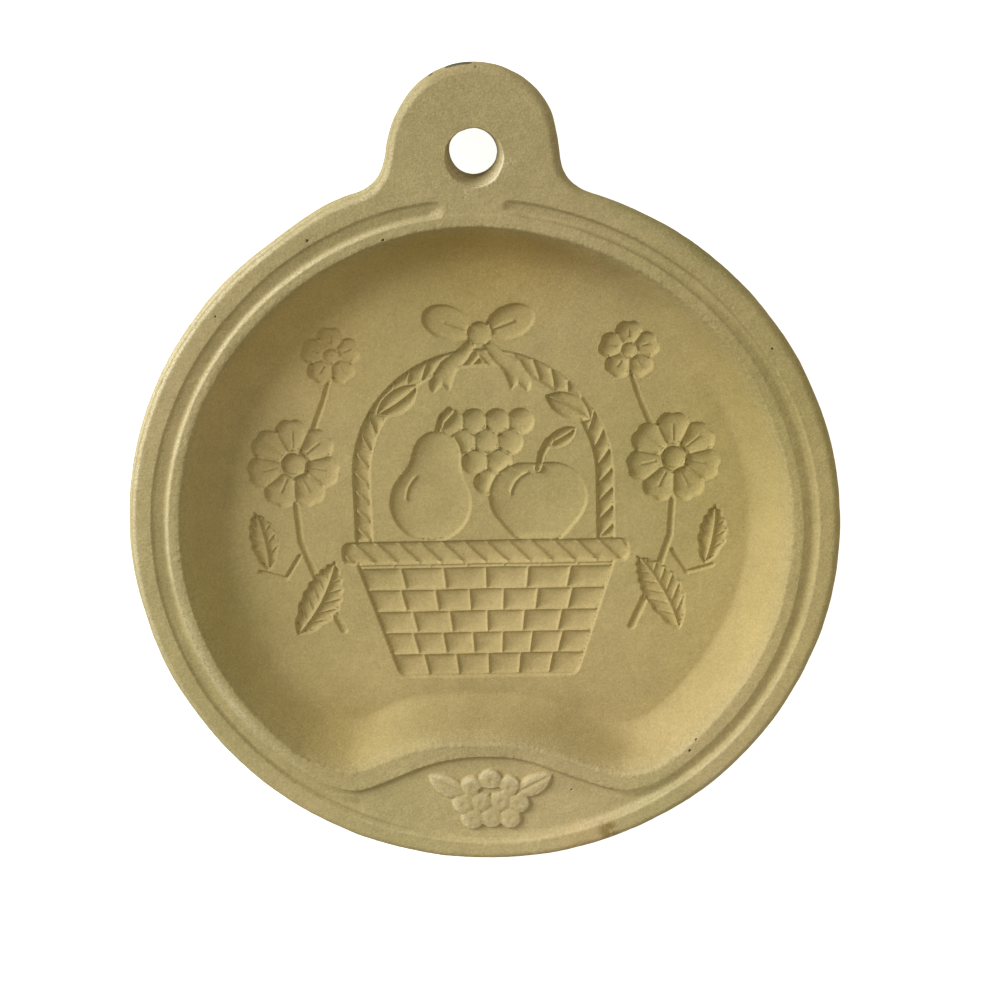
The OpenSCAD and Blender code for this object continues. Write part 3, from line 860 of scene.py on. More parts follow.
# ---------------------------------------------------------------- sides, hole and back
V = [np.c_[P2, full_z]]
n_front = len(P2)
rows = []
NB = 12             # rows of points over the rounded front edge
phi = np.linspace(math.pi / 2, 0, NB)
prof = [(INSET * (1 - math.cos(a)), TOP - 2.2 * (1 - math.sin(a))) for a in phi]


def lean(z):
    return LEAN * (TOP - 2.2 - z) / (TOP - 3.1)


# on the upper left the rounding is nearer to a bevel with a faint second line
BEVEL = np.array([(1.75, 12.0), (1.57, 11.99), (1.42, 11.95), (1.27, 11.80), (1.12, 11.60), (1.02, 11.51), (0.82, 11.48), (0.74, 11.42),
                  (0.62, 11.20), (0.38, 10.82), (0.12, 10.26), (0.0, 9.8)])
ROUND = np.array([(1.75, 12.0), (1.60, 11.985), (1.42, 11.93), (1.22, 11.80), (1.03, 11.62), (0.86, 11.42), (0.70, 11.20), (0.55, 10.95),
                  (0.40, 10.68), (0.24, 10.35), (0.08, 10.0), (0.0, 9.8)])
FLAT = np.array([(1.75, 12.0), (1.60, 11.965), (1.40, 11.92), (1.20, 11.87), (1.00, 11.81), (0.80, 11.74), (0.60, 11.65), (0.42, 11.53),
                 (0.26, 11.36), (0.12, 11.08), (0.03, 10.6), (0.0, 9.8)])
on_tab = sst((OUT[:, 1] - 60) / 3) * (np.abs(OUT[:, 0]) < 27)
bevel_w = np.maximum(bump_at(th_out, 145, 52), 0.0)
turn_t = np.degrees(np.arctan2(OUT[:, 1] - TY, OUT[:, 0]))          # direction round the tab
turn_t = np.where(turn_t < -60, turn_t + 360, turn_t)
tab_top = on_tab * sst((130 - turn_t) / 16) * sst((turn_t - 66) / 24)
bevel_w = np.where(on_tab > 0, bevel_w * (1 - on_tab) + on_tab * 0.8 * sst((turn_t - 66) / 24), bevel_w)
prof += [(lean(z), z) for z in (8.4, 7.0, 5.6, 4.2, BASE, 1.9)]
SEAM_ROW = NB + 4
phi = np.linspace(0.14, math.pi / 2, 6)
prof += [(lean(1.2) + (BACK_INSET - lean(1.2)) * (1 - math.cos(a)), 1.2 * (1 - math.sin(a))) for a in phi]
rows.append(np.array(ring_top))
total = n_front
for k, (ins_, z_) in enumerate(prof[1:-1], 1):
    if k < NB:
        ins_, z_ = (v + (BEVEL[k, c] + (ROUND[k, c] - BEVEL[k, c]) * on_tab + (FLAT[k, c] - ROUND[k, c]) * tab_top - v) * bevel_w
                    for c, v in ((0, ins_), (1, z_)))
    V.append(np.c_[OUT - OUT_N * np.reshape(ins_, (-1, 1)), np.full(N_OUT, 1.0) * z_])
    rows.append(np.arange(total, total + N_OUT))
    total += N_OUT

# the back face has its own triangulation
back = Cloud()
b_ring = back.add(OUT - OUT_N * prof[-1][0], closed=True)
b_hole = back.add(np.array([0, HOLE_Y]) + hole_dir * (HOLE_R + HOLE_BACK), closed=True)
b_arc = back.add(tab_mid, closed=False)
b_rad_l = back.add([dir_l * 63.3], closed=False, first=b_arc[0], last=b_ring[TAB_END])
b_rad_r = back.add([dir_r * 63.3], closed=False, first=b_arc[-1], last=b_ring[0])
bx, by, _, _ = hex_lattice(1.1, -66, 66, -66, 87)
keep = (outline_in(bx, by) > prof[-1][0] + 0.5) & (np.hypot(bx, by - HOLE_Y) > HOLE_R + 1.2)
br = np.hypot(bx, by)
keep &= ~((np.abs(br - TAB_R) < 0.45) & (by > 40)) & ~((np.abs(np.arctan2(np.abs(bx), by) - SPREAD) * br < 0.4) & (br > 62.5))
back.add(np.c_[bx[keep], by[keep]])
B2, BTRI = back.run()
bc = B2[BTRI].mean(1)
ins = (outline_in(bc[:, 0], bc[:, 1]) > prof[-1][0] - 1e-4) & (np.hypot(bc[:, 0], bc[:, 1] - HOLE_Y) > HOLE_R + HOLE_BACK - 0.004)
BTRI, bc = BTRI[ins], bc[ins]
e1, e2 = B2[BTRI[:, 1]] - B2[BTRI[:, 0]], B2[BTRI[:, 2]] - B2[BTRI[:, 0]]
cross = e1[:, 0] * e2[:, 1] - e1[:, 1] * e2[:, 0]
BTRI = np.where((cross > 0)[:, None], BTRI[:, ::-1], BTRI)      # facing down
back0 = total
V.append(np.c_[B2, np.zeros(len(B2))])
total += len(B2)
BTRI = BTRI + back0
blab = np.where(in_tab(bc[:, 0], bc[:, 1]), 1, 11)              # 11 is the back plate
b_ring, b_hole, b_arc = (np.array(a) + back0 for a in (b_ring, b_hole, b_arc))
b_rad_l, b_rad_r = b_rad_l[0] + back0, b_rad_r[0] + back0
rows.append(b_ring)

# the hole's wall, from the front flare to the back edge
hole_rows = [np.array(hole_top)]
phi = np.linspace(math.pi / 2, 0, 7)[1:]
hprof = [(HOLE_R + 0.72 + (HOLE_FLARE - 0.72) * (1 - math.cos(a)) , TOP - 0.9 * (1 - math.sin(a))) for a in phi]
hprof += [(HOLE_R + 0.42, 9.2), (HOLE_R + 0.16, 7.6), (HOLE_R + 0.02, 6.4), (HOLE_R, 4.9), (HOLE_R + 0.02, 3.4), (HOLE_R + 0.24, 2.1)]
hprof += [(HOLE_R + 0.48 + 0.27 * (1 - math.cos(a)), 0.5 * (1 - math.sin(a))) for a in np.linspace(0.3, math.pi / 2, 4)[:-1]]
for r_, z_ in hprof:
    r_ = r_ + (hole_wide(ht) - HOLE_FLARE) * sst((z_ - 7.6) / 4.2)
    V.append(np.c_[np.array([0, HOLE_Y]) + hole_dir * np.reshape(r_, (-1, 1)), np.full(N_HOLE, z_)])
    hole_rows.append(np.arange(total, total + N_HOLE))
    total += N_HOLE
hole_rows.append(b_hole)

V = np.vstack(V)
V[:, 0], V[:, 1] = pressed(V[:, 0], V[:, 1])
tab_mid = np.stack(pressed(tab_mid[:, 0], tab_mid[:, 1]), axis=1)
FACES = [TRI, BTRI]
LAB = [lab, blab]
tab_col = np.arange(N_OUT) < TAB_END
for k in range(len(rows) - 1):
    a, b = rows[k], rows[k + 1]
    a1, b1 = np.roll(a, -1), np.roll(b, -1)
    quads = np.r_[np.c_[a, b, b1], np.c_[a, b1, a1]]
    if k % 2:
        quads = np.r_[np.c_[a, b, a1], np.c_[b, b1, a1]]
    l_ = np.where(tab_col, 1, 0 if k < SEAM_ROW else 11)
    FACES.append(quads)
    LAB.append(np.r_[l_, l_])
for k in range(len(hole_rows) - 1):
    a, b = hole_rows[k], hole_rows[k + 1]
    a1, b1 = np.roll(a, -1), np.roll(b, -1)
    FACES.append(np.r_[np.c_[a, b1, b], np.c_[a, a1, b1]])
    LAB.append(np.full(2 * N_HOLE, 1))
FACES, LAB = np.vstack(FACES), np.concatenate(LAB)


def vertex_normals(v, f):
    n = np.cross(v[f[:, 1]] - v[f[:, 0]], v[f[:, 2]] - v[f[:, 0]])
    out = np.zeros_like(v)
    for k in range(3):
        for c in range(3):
            out[:, c] += np.bincount(f[:, k], n[:, c], minlength=len(v))
    return out / np.maximum(np.linalg.norm(out, axis=1), 1e-12)[:, None]


NRM = vertex_normals(V, FACES)
lift = unevenness(V)
V = V + NRM * lift[:, None]
V[:, 2] = np.maximum(V[:, 2], 0.0)
floor_base = V.copy()
floor_base[:n_front, 2] -= full_z - base_z
NRM = vertex_normals(V, FACES)

# ---------------------------------------------------------------- how worn or sheltered each point is
gs = 0.3
gx = np.arange(-67, 67.01, gs)
gy = np.arange(-67, 88.01, gs)
GX, GY = np.meshgrid(gx, gy)
_, gh, _, _, _, _ = heights(GX.ravel(), GY.ravel())
gh = gh.reshape(GX.shape)
edge_d = outline_in(GX, GY)
q = np.clip((INSET - edge_d) / INSET, 0, 1)
gh = np.where(edge_d < INSET, TOP - 2.2 * (1 - np.sqrt(np.clip(1 - q * q, 0, 1))), gh)


def blur(a, sigma):
    r_ = int(3 * sigma / gs + 1)
    k = np.exp(-0.5 * (np.arange(-r_, r_ + 1) * gs / sigma) ** 2)
    k /= k.sum()
    p = np.pad(a, r_, mode="edge")
    out = np.zeros((a.shape[0], p.shape[1]))
    for i, w in enumerate(k):
        out += w * p[i:i + a.shape[0]]
    res = np.zeros(a.shape)
    for i, w in enumerate(k):
        res += w * out[:, i:i + a.shape[1]]
    return res


def sample(g, x, y):
    u, v = np.clip((x - gx[0]) / gs, 0, len(gx) - 1.001), np.clip((y - gy[0]) / gs, 0, len(gy) - 1.001)
    i, j = u.astype(int), v.astype(int)
    a, b = u - i, v - j
    return (g[j, i] * (1 - a) * (1 - b) + g[j, i + 1] * a * (1 - b) + g[j + 1, i] * (1 - a) * b + g[j + 1, i + 1] * a * b)


fine_c = gh - blur(gh, 0.55)
wide_c = gh - blur(gh, 3.2)
edge_at = np.zeros(len(V))
cav_at = np.zeros(len(V))
fx2, fy2 = P2[:, 0], P2[:, 1]
edge_at[:n_front] = sample(fine_c, fx2, fy2)
cav_at[:n_front] = sample(wide_c, fx2, fy2)
for k, row in enumerate(rows[1:-1], 1):
    a = prof[k][0] / INSET
    edge_at[row] = 0.11 * math.exp(-((a - 0.45) / 0.3) ** 2) if k < NB else 0.0
    cav_at[row] = 0.25 if k < NB else 0.0
edge_at = np.clip(edge_at / 0.16, -1, 1)
# the mouth of the hole is worn on its lower right
mouth = hole_in(fx2, fy2)
lower = bump_at(np.arctan2(fy2 - HOLE_Y, fx2), -42, 75)
edge_at[:n_front] = np.maximum(edge_at[:n_front], 0.9 * lower * np.clip(1 - (mouth - 0.1) / 0.6, 0, 1) * (mouth < 0.8))
low_h = bump_at(ht, -42, 75)
for k, row in enumerate(hole_rows[1:6], 1):
    edge_at[row] = (0.95 - 0.12 * k) * low_h
deep_v = np.zeros(len(V))
deep_v[:n_front] = sst((hollow_in(fx2, fy2) - 0.1) / 3.0)
# where the clay is pale: rubbing, and painted highlight on the edges that face the light; the edges on the upper left,
# the lit lower right of the hole's mouth, the ornament's edges, and a few more
th2 = np.arctan2(fy2, fx2)
r2 = np.hypot(fx2, fy2)
u, g = -lip_in(fx2, fy2), GROOVE_OUT + out_of_round(fx2, fy2) - r2
h2, e2_ = hollow_in(fx2, fy2), outline_in(fx2, fy2)
off_hump = sst((r2 - 55.5) / 1.5)
tab2 = (fy2 > 62) & (np.abs(fx2) < 24)
ta2 = np.degrees(np.arctan2(fy2 - TY, fx2))
ta2 = np.where(ta2 < -60, ta2 + 360, ta2)
light_facing = np.where(tab2, 0.45 * sst((ta2 - 112) / 24), np.maximum(bump_at(th2, 148, 54), 0.35 * bump_at(th2, 318, 30)))
wear_and_highlight = np.exp(-((u - 0.28) / 0.36) ** 2) * bump_at(th2, 148, 50) * off_hump
wear_and_highlight = np.maximum(wear_and_highlight, 0.72 * np.exp(-((u + 0.3) / 0.8) ** 2) * bump_at(th2, 207, 22) * off_hump)
wear_and_highlight = np.maximum(wear_and_highlight, 0.60 * np.exp(-((g + 0.25) / 0.3) ** 2) * bump_at(th2, 314, 40))
wear_and_highlight = np.maximum(wear_and_highlight, 0.25 * np.exp(-((h2 - 0.2) / 0.45) ** 2) * bump_at(th2, 305, 46))
wear_and_highlight = np.maximum(wear_and_highlight, 0.40 * np.exp(-((g + 0.28) / 0.26) ** 2) * bump_at(th2, 256, 20))
wear_and_highlight = np.maximum(wear_and_highlight, 0.38 * np.exp(-((g - 0.75) / 0.85) ** 2) * bump_at(th2, 296, 15))
wear_and_highlight = np.maximum(wear_and_highlight, sst((INSET + 0.10 - e2_) / 0.25) * light_facing)
wear_and_highlight = np.maximum(wear_and_highlight, 0.9 * lower * np.clip(1 - (mouth - 0.02) / 0.22, 0, 1) * (mouth < 0.8))
wear_and_highlight = np.maximum(wear_and_highlight, 0.8 * np.clip(edge_at[:n_front], 0, 1) * (od > -0.2))
wear_and_highlight_at = np.zeros(len(V))
wear_and_highlight_at[:n_front] = wear_and_highlight
# the outer rounded edge: pale where it faces the light, painted highlight
out_light_facing = np.where(on_tab > 0, 0.45 * sst((turn_t - 112) / 24), np.maximum(bump_at(th_out, 148, 54), 0.35 * bump_at(th_out, 318, 30)))
for k, row in enumerate(rows[1:NB], 1):
    wear_and_highlight_at[row] = out_light_facing * (1 - 0.5 * sst((k - 8) / 3.0)) * (0.35 if k in (6, 7) else 1.0)
# inside the hole, painted light: the lit lower right wall pale, and the shaded left wall paler
hole_shade_lift = bump_at(ht, 205, 70)
for k, row in enumerate(hole_rows[:-1]):
    wear_and_highlight_at[row] = np.maximum(2.2 * bump_at(ht, -28, 48) * (1 - 0.97 * sst((k - 4.0) / 4.0)), 0.75 * hole_shade_lift * sst((k - 1.0) / 3.0))
mark_at = np.zeros(len(V))
ox = OUT[:, 0]
smear = (OUT[:, 1] > 80) * np.maximum(sst((ox + 5.0) / 0.8) * (1 - sst((ox + 0.5) / 0.9)), 0.8 * np.exp(-((ox + 7.3) / 0.4) ** 2))
for k, row in enumerate(rows[1:NB + 1], 1):
    mark_at[row] = smear * math.exp(-((k - 9.0) / 1.3) ** 2)
# dirt and painted shade in the tight corners of the groove, most on the right
corner = np.maximum(np.exp(-((g - 0.50) / 0.20) ** 2) * np.maximum(bump_at(th2, 60, 38), 0.8 * bump_at(th2, 246, 22)),
                    0.85 * np.exp(-((u - 0.38) / 0.24) ** 2) * bump_at(th2, 62, 26))
crease_at = np.zeros(len(V))
crease_at[:n_front] = corner * sst((np.abs(th2 - np.pi / 2) * r2 - 5.6) / 2.0) * (1 - sst((-fy2 - 56) / 6))
GRIT = waves(60, 0.8, 1.9)
V = V + NRM * (0.022 * wave_sum(V, GRIT) * np.clip(edge_at, 0, 1) * (1 - deep_v))[:, None]
NRM = vertex_normals(V, FACES)
cav_at = np.clip(cav_at / 1.6, -1, 1)
pit_at = np.zeros(len(V))
pit_at[:n_front] = pit_tone
deep_at = deep_v

# ---------------------------------------------------------------- closed pieces


def piece_mesh(name, tris, closing, verts, nrm, hidden_from):
    """Builds a closed object from skin triangles and the faces that close it. Skin corners keep the skin's own normals."""
    polys = [tuple(t) for t in tris.tolist()] + [tuple(c) for c in closing]
    used = np.unique(np.concatenate([np.asarray(p) for p in ([tris.ravel()] + [np.array(c) for c in closing])]))
    remap = -np.ones(len(verts), int)
    remap[used] = np.arange(len(used))
    me = bpy.data.meshes.new(name)
    flat = [tuple(int(remap[i]) for i in p) for p in polys]
    me.from_pydata((verts[used] * MM).tolist(), [], flat)
    me.update()
    me.polygons.foreach_set("use_smooth", [True] * len(flat))
    # normals: the skin's for skin faces, each face's own for the rest
    n_skin = len(tris)
    fn = np.zeros(len(me.polygons) * 3)
    me.polygons.foreach_get("normal", fn)
    fn = fn.reshape(-1, 3)
    tot = np.zeros(len(me.polygons), int)
    me.polygons.foreach_get("loop_total", tot)
    corner_face = np.repeat(np.arange(len(flat)), tot)
    corner_vert = np.zeros(len(me.loops), int)
    me.loops.foreach_get("vertex_index", corner_vert)
    n_used = nrm[used]
    cn = fn[corner_face]
    sk = corner_face < n_skin
    cn[sk] = n_used[corner_vert[sk]]
    bad = np.linalg.norm(cn, axis=1) < 0.5
    cn[bad] = (0, 0, 1)
    me.normals_split_custom_set(cn.tolist())
    for key, data in (("edge", EDGE_ALL), ("cav", CAV_ALL), ("pit", PIT_ALL), ("deep", DEEP_ALL), ("wear_and_highlight", WEAR_AND_HIGHLIGHT_ALL), ("crease", CREASE_ALL), ("mark", MARK_ALL)):
        at = me.attributes.new(key, "FLOAT", "POINT")
        at.data.foreach_set("value", data[used].astype(np.float32))
    ob = bpy.data.objects.new(name, me)
    scene.collection.objects.link(ob)
    return ob, used, n_skin


def rim_edges(tris):
    """Edges with one face, each as (from, to) in that face's order."""
    e = np.vstack([tris[:, [0, 1]], tris[:, [1, 2]], tris[:, [2, 0]]])
    key = np.minimum(e[:, 0], e[:, 1]) * np.int64(10 ** 7) + np.maximum(e[:, 0], e[:, 1])
    _, inv, cnt = np.unique(key, return_inverse=True, return_counts=True)
    return e[cnt[inv] == 1]


ALL_V = [V]
ALL_N = [NRM]
EDGE_ALL = edge_at
CAV_ALL = cav_at
PIT_ALL = pit_at
DEEP_ALL = deep_at
WEAR_AND_HIGHLIGHT_ALL = wear_and_highlight_at
CREASE_ALL = crease_at
MARK_ALL = mark_at


def new_points(p, src):
    """Adds hidden points below the skin and returns their indices."""
    global EDGE_ALL, CAV_ALL, PIT_ALL, DEEP_ALL, WEAR_AND_HIGHLIGHT_ALL, CREASE_ALL, MARK_ALL
    start = sum(map(len, ALL_V))
    ALL_V.append(np.asarray(p, float))
    ALL_N.append(np.tile([0.0, 0.0, 1.0], (len(p), 1)))
    EDGE_ALL = np.r_[EDGE_ALL, np.zeros(len(p))]
    CAV_ALL = np.r_[CAV_ALL, np.zeros(len(p))]
    PIT_ALL = np.r_[PIT_ALL, np.zeros(len(p))]
    DEEP_ALL = np.r_[DEEP_ALL, np.zeros(len(p))]
    WEAR_AND_HIGHLIGHT_ALL = np.r_[WEAR_AND_HIGHLIGHT_ALL, np.zeros(len(p))]
    CREASE_ALL = np.r_[CREASE_ALL, np.zeros(len(p))]
    MARK_ALL = np.r_[MARK_ALL, np.zeros(len(p))]
    return np.arange(start, start + len(p))


def even_odd(pts, seg_a, seg_b):
    """Which points lie inside the closed lines made of the segments."""
    out = np.zeros(len(pts), bool)
    for i in range(0, len(pts), 2000):
        p = pts[i:i + 2000]
        ay, by_ = seg_a[None, :, 1], seg_b[None, :, 1]
        ax, bx_ = seg_a[None, :, 0], seg_b[None, :, 0]
        cond = (ay > p[:, 1:2]) != (by_ > p[:, 1:2])
        with np.errstate(divide="ignore", invalid="ignore"):
            xi = ax + (p[:, 1:2] - ay) * (bx_ - ax) / (by_ - ay)
        out[i:i + 2000] = (np.sum(cond & (p[:, 0:1] < xi), axis=1) % 2) == 1
    return out


def cap(edges, down=True):
    """Flat triangles that fill closed lines of points at one height."""
    verts = np.vstack(ALL_V)
    ids = np.unique(edges)
    back_ = {int(a): i for i, a in enumerate(ids)}
    p = verts[ids][:, :2]
    es = [(back_[int(a)], back_[int(b)]) for a, b in edges]
    out = delaunay_2d_cdt([Vector(q) for q in p.tolist()], es, [], 0, 1e-7, False)
    q = np.array([tuple(v) for v in out[0]])
    if len(q) != len(p):
        raise RuntimeError("a hidden face moved its points")
    t = np.array([tuple(f) for f in out[2]])
    c = p[t].mean(1)
    es = np.array(es)
    t = t[even_odd(c, p[es[:, 0]], p[es[:, 1]])]
    u, w = p[t[:, 1]] - p[t[:, 0]], p[t[:, 2]] - p[t[:, 0]]
    s = u[:, 0] * w[:, 1] - u[:, 1] * w[:, 0]
    t = t[np.abs(s) > 1e-12]
    s = s[np.abs(s) > 1e-12]
    flip = s > 0 if down else s < 0
    t = np.where(flip[:, None], t[:, ::-1], t)
    return [tuple(int(ids[i]) for i in f) for f in t]


def close_down(tris, level=BASE, verts_from=None):
    """Walls from the edge of a patch down to a level, and the flat face there."""
    src = np.vstack(ALL_V) if verts_from is None else verts_from
    e = rim_edges(tris)
    ids = np.unique(e)
    low = new_points(np.c_[src[ids][:, :2], np.full(len(ids), level)], ids)
    at = dict(zip(ids.tolist(), low.tolist()))
    faces = [(int(b), int(a), at[int(a)], at[int(b)]) for a, b in e]
    faces += cap(np.array([(at[int(a)], at[int(b)]) for a, b in e]), down=True)
    return faces


pieces = {}
# heightfield pieces: lip, panel, and the floor, which runs on under its ridges
lip_tris = FACES[LAB == 2]
pieces["inner_lip"] = (lip_tris, close_down(lip_tris))
# the panel runs on under the ornament, and the floor under its ridges, on points of their own


def patch_with_base(label_main, labels_raised):
    main = FACES[LAB == label_main]
    out = [main]
    for l_ in labels_raised:
        t = FACES[LAB == l_]
        if len(t) == 0:
            continue
        out.append(t)
    return main, out[1:]


for main_label, raised in ((3, [10]), (4, [5, 6, 7, 8, 9])):
    main, ups = patch_with_base(main_label, raised)
    main_ids = set(np.unique(main).tolist())
    sunk = np.vstack(ups)
    inner = [i for i in np.unique(sunk).tolist() if i not in main_ids]
    new = new_points(floor_base[inner], inner)
    at = dict(zip(inner, new.tolist()))
    remap = np.arange(sum(map(len, ALL_V)))
    for a, b in at.items():
        remap[a] = b
    hidden = remap[sunk]
    whole = np.vstack([main, hidden])
    name = LABELS[main_label]
    closing = [tuple(f) for f in hidden.tolist()]
    # the outer wall and flat face of the whole patch
    e = rim_edges(whole)
    ids = np.unique(e)
    allv = np.vstack(ALL_V)
    low = new_points(np.c_[allv[ids][:, :2], np.full(len(ids), BASE)], ids)
    la = dict(zip(ids.tolist(), low.tolist()))
    closing += [(int(b), int(a), la[int(a)], la[int(b)]) for a, b in e]
    closing += cap(np.array([(la[int(a)], la[int(b)]) for a, b in e]), down=True)
    pieces[name] = (main, closing)
    for l_ in raised:
        t = FACES[LAB == l_]
        if len(t) == 0:
            continue
        ids = np.unique(t)
        bot = floor_base[ids].copy()
        bot[:, 2] -= 0.05
        low = new_points(bot, ids)
        bm_ = np.arange(sum(map(len, ALL_V)))
        bm_[ids] = low
        closing = [tuple(f) for f in bm_[t][:, ::-1].tolist()]
        closing += [(int(b), int(a), int(bm_[a]), int(bm_[b])) for a, b in rim_edges(t)]
        pieces[LABELS[l_]] = (t, closing)

# rim, back plate and tab meet on two short radial faces, each one flat polygon
radial = {"l": (tab_arc[0], rad_l[0], TAB_END, b_rad_l, b_arc[0]), "r": (tab_arc[-1], rad_r[0], 0, b_rad_r, b_arc[-1])}
side_col = {s: [int(row[radial[s][2]]) for row in rows] for s in radial}


def at_level(i, z):
    p = np.vstack(ALL_V)[i]
    return int(new_points([[p[0], p[1], z]], [i])[0])


# outer rim
t = FACES[LAB == 0]
arc_low = new_points(np.c_[tab_mid, np.full(len(tab_mid), BASE)], tab_arc)
sp = P2[seam]
seam_low = new_points(np.c_[sp, np.full(len(sp), BASE)], seam)
closing = []
n_s = len(seam)
for i in range(n_s):
    j = (i + 1) % n_s
    closing.append((int(seam[i]), int(seam[j]), int(seam_low[j]), int(seam_low[i])))
for i in range(len(tab_arc) - 1):
    closing.append((int(tab_arc[i]), int(tab_arc[i + 1]), int(arc_low[i + 1]), int(arc_low[i])))
seam_row = rows[SEAM_ROW]
for s, k, flip in (("l", 0, False), ("r", -1, True)):
    poly = [int(arc_low[k]), int(tab_arc[k]), int(radial[s][1])] + side_col[s][:SEAM_ROW + 1]
    closing.append(tuple(poly if flip else poly[::-1]))
disc_ids = [int(seam_row[i]) for i in list(range(TAB_END, N_OUT)) + [0]]
ce = list(zip(disc_ids[:-1], disc_ids[1:]))
ce += [(disc_ids[-1], int(arc_low[-1])), (int(arc_low[0]), disc_ids[0])]
ce += [(int(arc_low[i]), int(arc_low[i + 1])) for i in range(len(arc_low) - 1)]
ce += [(int(seam_low[i]), int(seam_low[(i + 1) % n_s])) for i in range(n_s)]
closing += cap(np.array(ce), down=True)
pieces["outer_rim"] = (t, closing)

# back plate
t = FACES[LAB == 11]
barc_up = new_points(np.c_[tab_mid, np.full(len(tab_mid), BASE)], b_arc)
closing = []
for i in range(len(b_arc) - 1):
    closing.append((int(b_arc[i + 1]), int(b_arc[i]), int(barc_up[i]), int(barc_up[i + 1])))
for s, k, flip in (("l", 0, False), ("r", -1, True)):
    col = side_col[s][SEAM_ROW:]
    poly = [int(barc_up[k])] + col + [int(radial[s][3]), int(radial[s][4])]
    closing.append(tuple(poly if flip else poly[::-1]))
ce = list(zip(disc_ids[:-1], disc_ids[1:])) + [(disc_ids[-1], int(barc_up[-1])), (int(barc_up[0]), disc_ids[0])]
ce += [(int(barc_up[i]), int(barc_up[i + 1])) for i in range(len(barc_up) - 1)]
closing += cap(np.array(ce), down=False)
pieces["back_plate"] = (t, closing)

# hanging tab
t = FACES[LAB == 1]
closing = []
for i in range(len(tab_arc) - 1):
    closing.append((int(tab_arc[i + 1]), int(tab_arc[i]), int(b_arc[i]), int(b_arc[i + 1])))
for s, k, flip in (("l", 0, True), ("r", -1, False)):
    poly = [int(tab_arc[k]), int(radial[s][1])] + side_col[s] + [int(radial[s][3]), int(radial[s][4])]
    closing.append(tuple(poly if flip else poly[::-1]))
pieces["hanging_tab"] = (t, closing)

ALL = np.vstack(ALL_V)
ALLN = np.vstack(ALL_N)


# ---------------------------------------------------------------- materials
def node(tree, kind, **props):
    n = tree.nodes.new(kind)
    for k, v in props.items():
        setattr(n, k, v)
    return n


